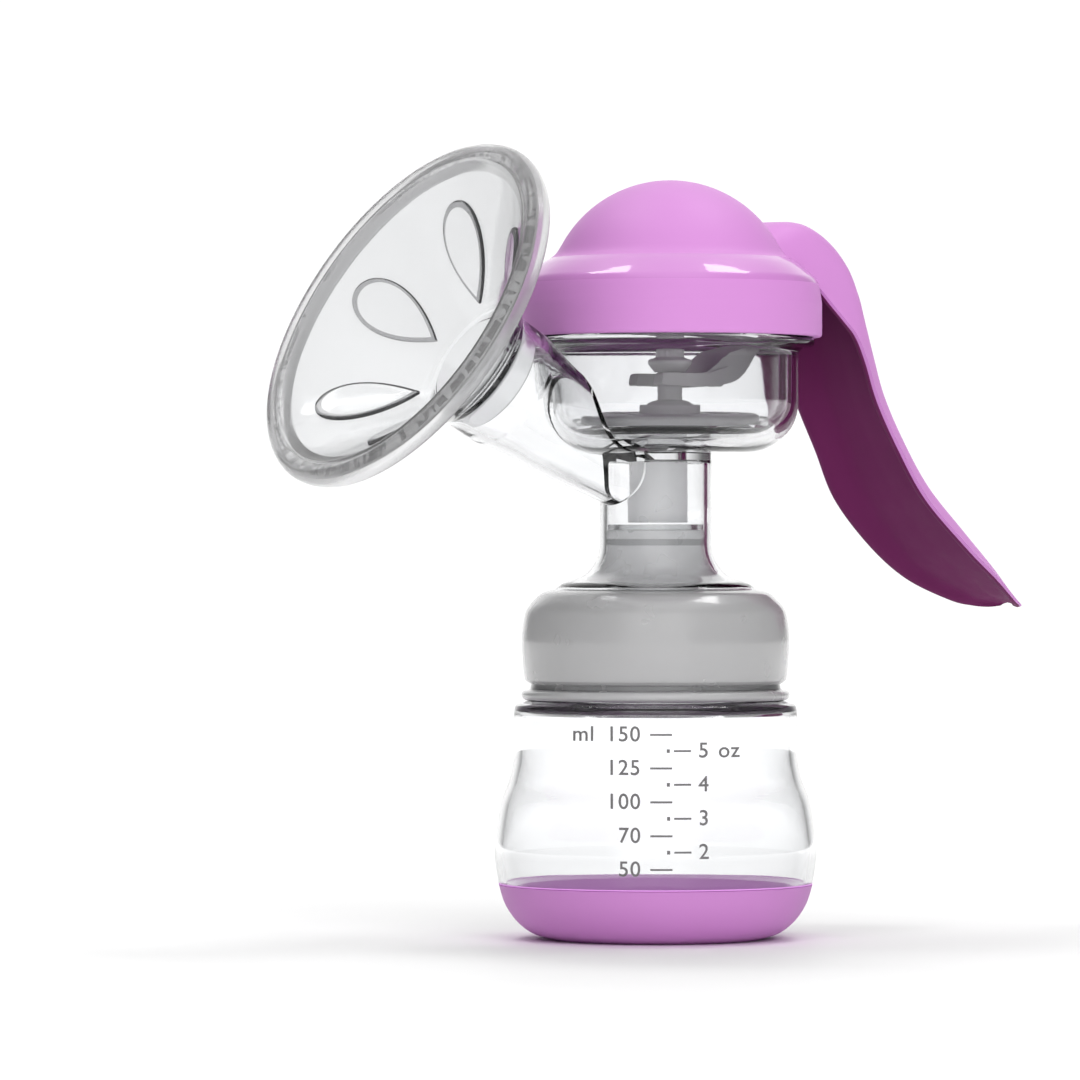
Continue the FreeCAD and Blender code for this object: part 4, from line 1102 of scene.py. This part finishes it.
def paint_hidden_nodes():
    """The inner pieces that keep their CAD shape."""
    for node, material in {"sealing_gasket": SILICONE, "spigot_seal": SILICONE, "duckbill_valve": SILICONE,
                           "pivot_pin": STEEL, "lever_screw": STEEL}.items():
        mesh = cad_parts[node].data
        mesh.materials.clear()
        mesh.materials.append(material)


# ---- stage ---------------------------------------------------------------------------------------------
def make_stage():
    bpy.ops.mesh.primitive_circle_add(vertices=96, radius=6.0, fill_type="NGON", location=(0, 0, -0.0001))
    floor = bpy.context.object
    floor.name = "stage_floor"
    material, nodes, links, shader = graph("stage_floor")
    coords = nodes.new("ShaderNodeTexCoord")
    two_tone(nodes, links, shader, noise(nodes, links, coords, 30), (0.90, 0.90, 0.90), (0.93, 0.93, 0.93))
    shader.inputs["Roughness"].default_value = 0.6
    shader.inputs["Emission Color"].default_value = (1, 1, 1, 1)
    # The floor glows more the farther it lies from the middle, with none within 6 cm and up to half
    # strength at 0.9 m: painted light that brings the far floor up to white, while the floor near the
    # object keeps its contact shadow.
    away = nodes.new("ShaderNodeVectorMath")
    away.operation = "LENGTH"
    links.new(coords.outputs["Object"], away.inputs[0])
    lift = nodes.new("ShaderNodeMapRange")
    lift.inputs["From Min"].default_value = 0.06
    lift.inputs["From Max"].default_value = 0.9
    lift.inputs["To Min"].default_value = 0.0
    lift.inputs["To Max"].default_value = 0.5
    links.new(away.outputs["Value"], lift.inputs["Value"])
    links.new(lift.outputs["Result"], shader.inputs["Emission Strength"])
    floor.data.materials.append(material)


def softbox(name, where, aim, size, power, reflected=True):
    light = bpy.data.lights.new(name, "AREA")
    light.shape = "RECTANGLE"
    light.size, light.size_y = size
    light.energy = power
    lamp = link(name, light)
    lamp.visible_glossy = reflected
    lamp.visible_transmission = reflected
    lamp.location = where
    lamp.rotation_euler = (Vector(aim) - Vector(where)).to_track_quat("-Z", "Y").to_euler()


def in_view(right, up, toward):
    """A place given from the object's middle as the photograph's view sees it, in metres."""
    back = Vector((-math.sin(VIEW_ANGLE), -math.cos(VIEW_ANGLE), 0))
    side = Vector((math.cos(VIEW_ANGLE), -math.sin(VIEW_ANGLE), 0))
    return side * right + back * toward + Vector((0, 0, up))


def make_lights():
    world = bpy.data.worlds.new("studio")
    bpy.context.scene.world = world
    world.use_nodes = True
    nodes, links = world.node_tree.nodes, world.node_tree.links
    studio = nodes["Background"]
    coords = nodes.new("ShaderNodeTexCoord")
    along = nodes.new("ShaderNodeVectorMath")
    along.operation = "DOT_PRODUCT"
    along.inputs[1].default_value = (math.cos(VIEW_ANGLE), -math.sin(VIEW_ANGLE), 0)
    links.new(coords.outputs["Generated"], along.inputs[0])
    ramp = nodes.new("ShaderNodeValToRGB")
    ramp.color_ramp.interpolation = "EASE"
    tones = ((0.0, 0.06), (0.18, 0.16), (0.36, 1.0), (0.64, 1.0), (0.82, 0.16), (1.0, 0.06))
    while len(ramp.color_ramp.elements) < len(tones):
        ramp.color_ramp.elements.new(0.5)
    for element, (place, tone) in zip(ramp.color_ramp.elements, tones):
        element.position = place
        element.color = (tone, tone, tone, 1)
    halve = nodes.new("ShaderNodeMapRange")
    halve.inputs["From Min"].default_value = -1
    links.new(along.outputs["Value"], halve.inputs["Value"])
    links.new(halve.outputs["Result"], ramp.inputs["Fac"])
    links.new(ramp.outputs["Color"], studio.inputs["Color"])
    studio.inputs["Strength"].default_value = 1.18
    backdrop = nodes.new("ShaderNodeBackground")
    backdrop.inputs["Color"].default_value = (1, 1, 1, 1)
    backdrop.inputs["Strength"].default_value = 1.06
    path = nodes.new("ShaderNodeLightPath")
    choose = nodes.new("ShaderNodeMixShader")
    links.new(path.outputs["Is Camera Ray"], choose.inputs[0])
    links.new(studio.outputs[0], choose.inputs[1])
    links.new(backdrop.outputs[0], choose.inputs[2])
    links.new(choose.outputs[0], nodes["World Output"].inputs["Surface"])
    middle = (0, 0, 0.1)
    softbox("front", in_view(0.45, 0.75, 1.35), middle, (0.9, 0.9), 7.2, False)
    softbox("top_left", in_view(-0.42, 1.1, -0.17), middle, (0.26, 0.32), 2.0)
    softbox("top_right", in_view(0.40, 1.1, -0.17), middle, (0.26, 0.32), 2.0)


def make_camera():
    lens = bpy.data.cameras.new("view")
    lens.lens = VIEW_LENS
    lens.sensor_width = 36
    lens.shift_y = VIEW_RISE
    lens.clip_start = 0.05
    camera = link("view", lens)
    camera.location = in_view(-VIEW_ASIDE, VIEW_HEIGHT, VIEW_DISTANCE)
    forward = Vector((math.sin(VIEW_ANGLE), math.cos(VIEW_ANGLE), 0))
    camera.rotation_euler = forward.to_track_quat("-Z", "Y").to_euler()
    bpy.context.scene.camera = camera


make_camera()
make_base_cup()
make_bottle()
make_scale()
make_adapter()
make_pump_body()
make_cushion()
make_cap()
make_handle()
make_lever()
make_stem_group()
make_diaphragm()
paint_hidden_nodes()
make_stage()
make_lights()

scene = bpy.context.scene
scene.view_settings.view_transform = "Standard"
scene.cycles.max_bounces = 20
scene.cycles.transmission_bounces = 20
scene.cycles.transparent_max_bounces = 16
scene.cycles.sample_clamp_indirect = 3.0
scene.cycles.caustics_reflective = False
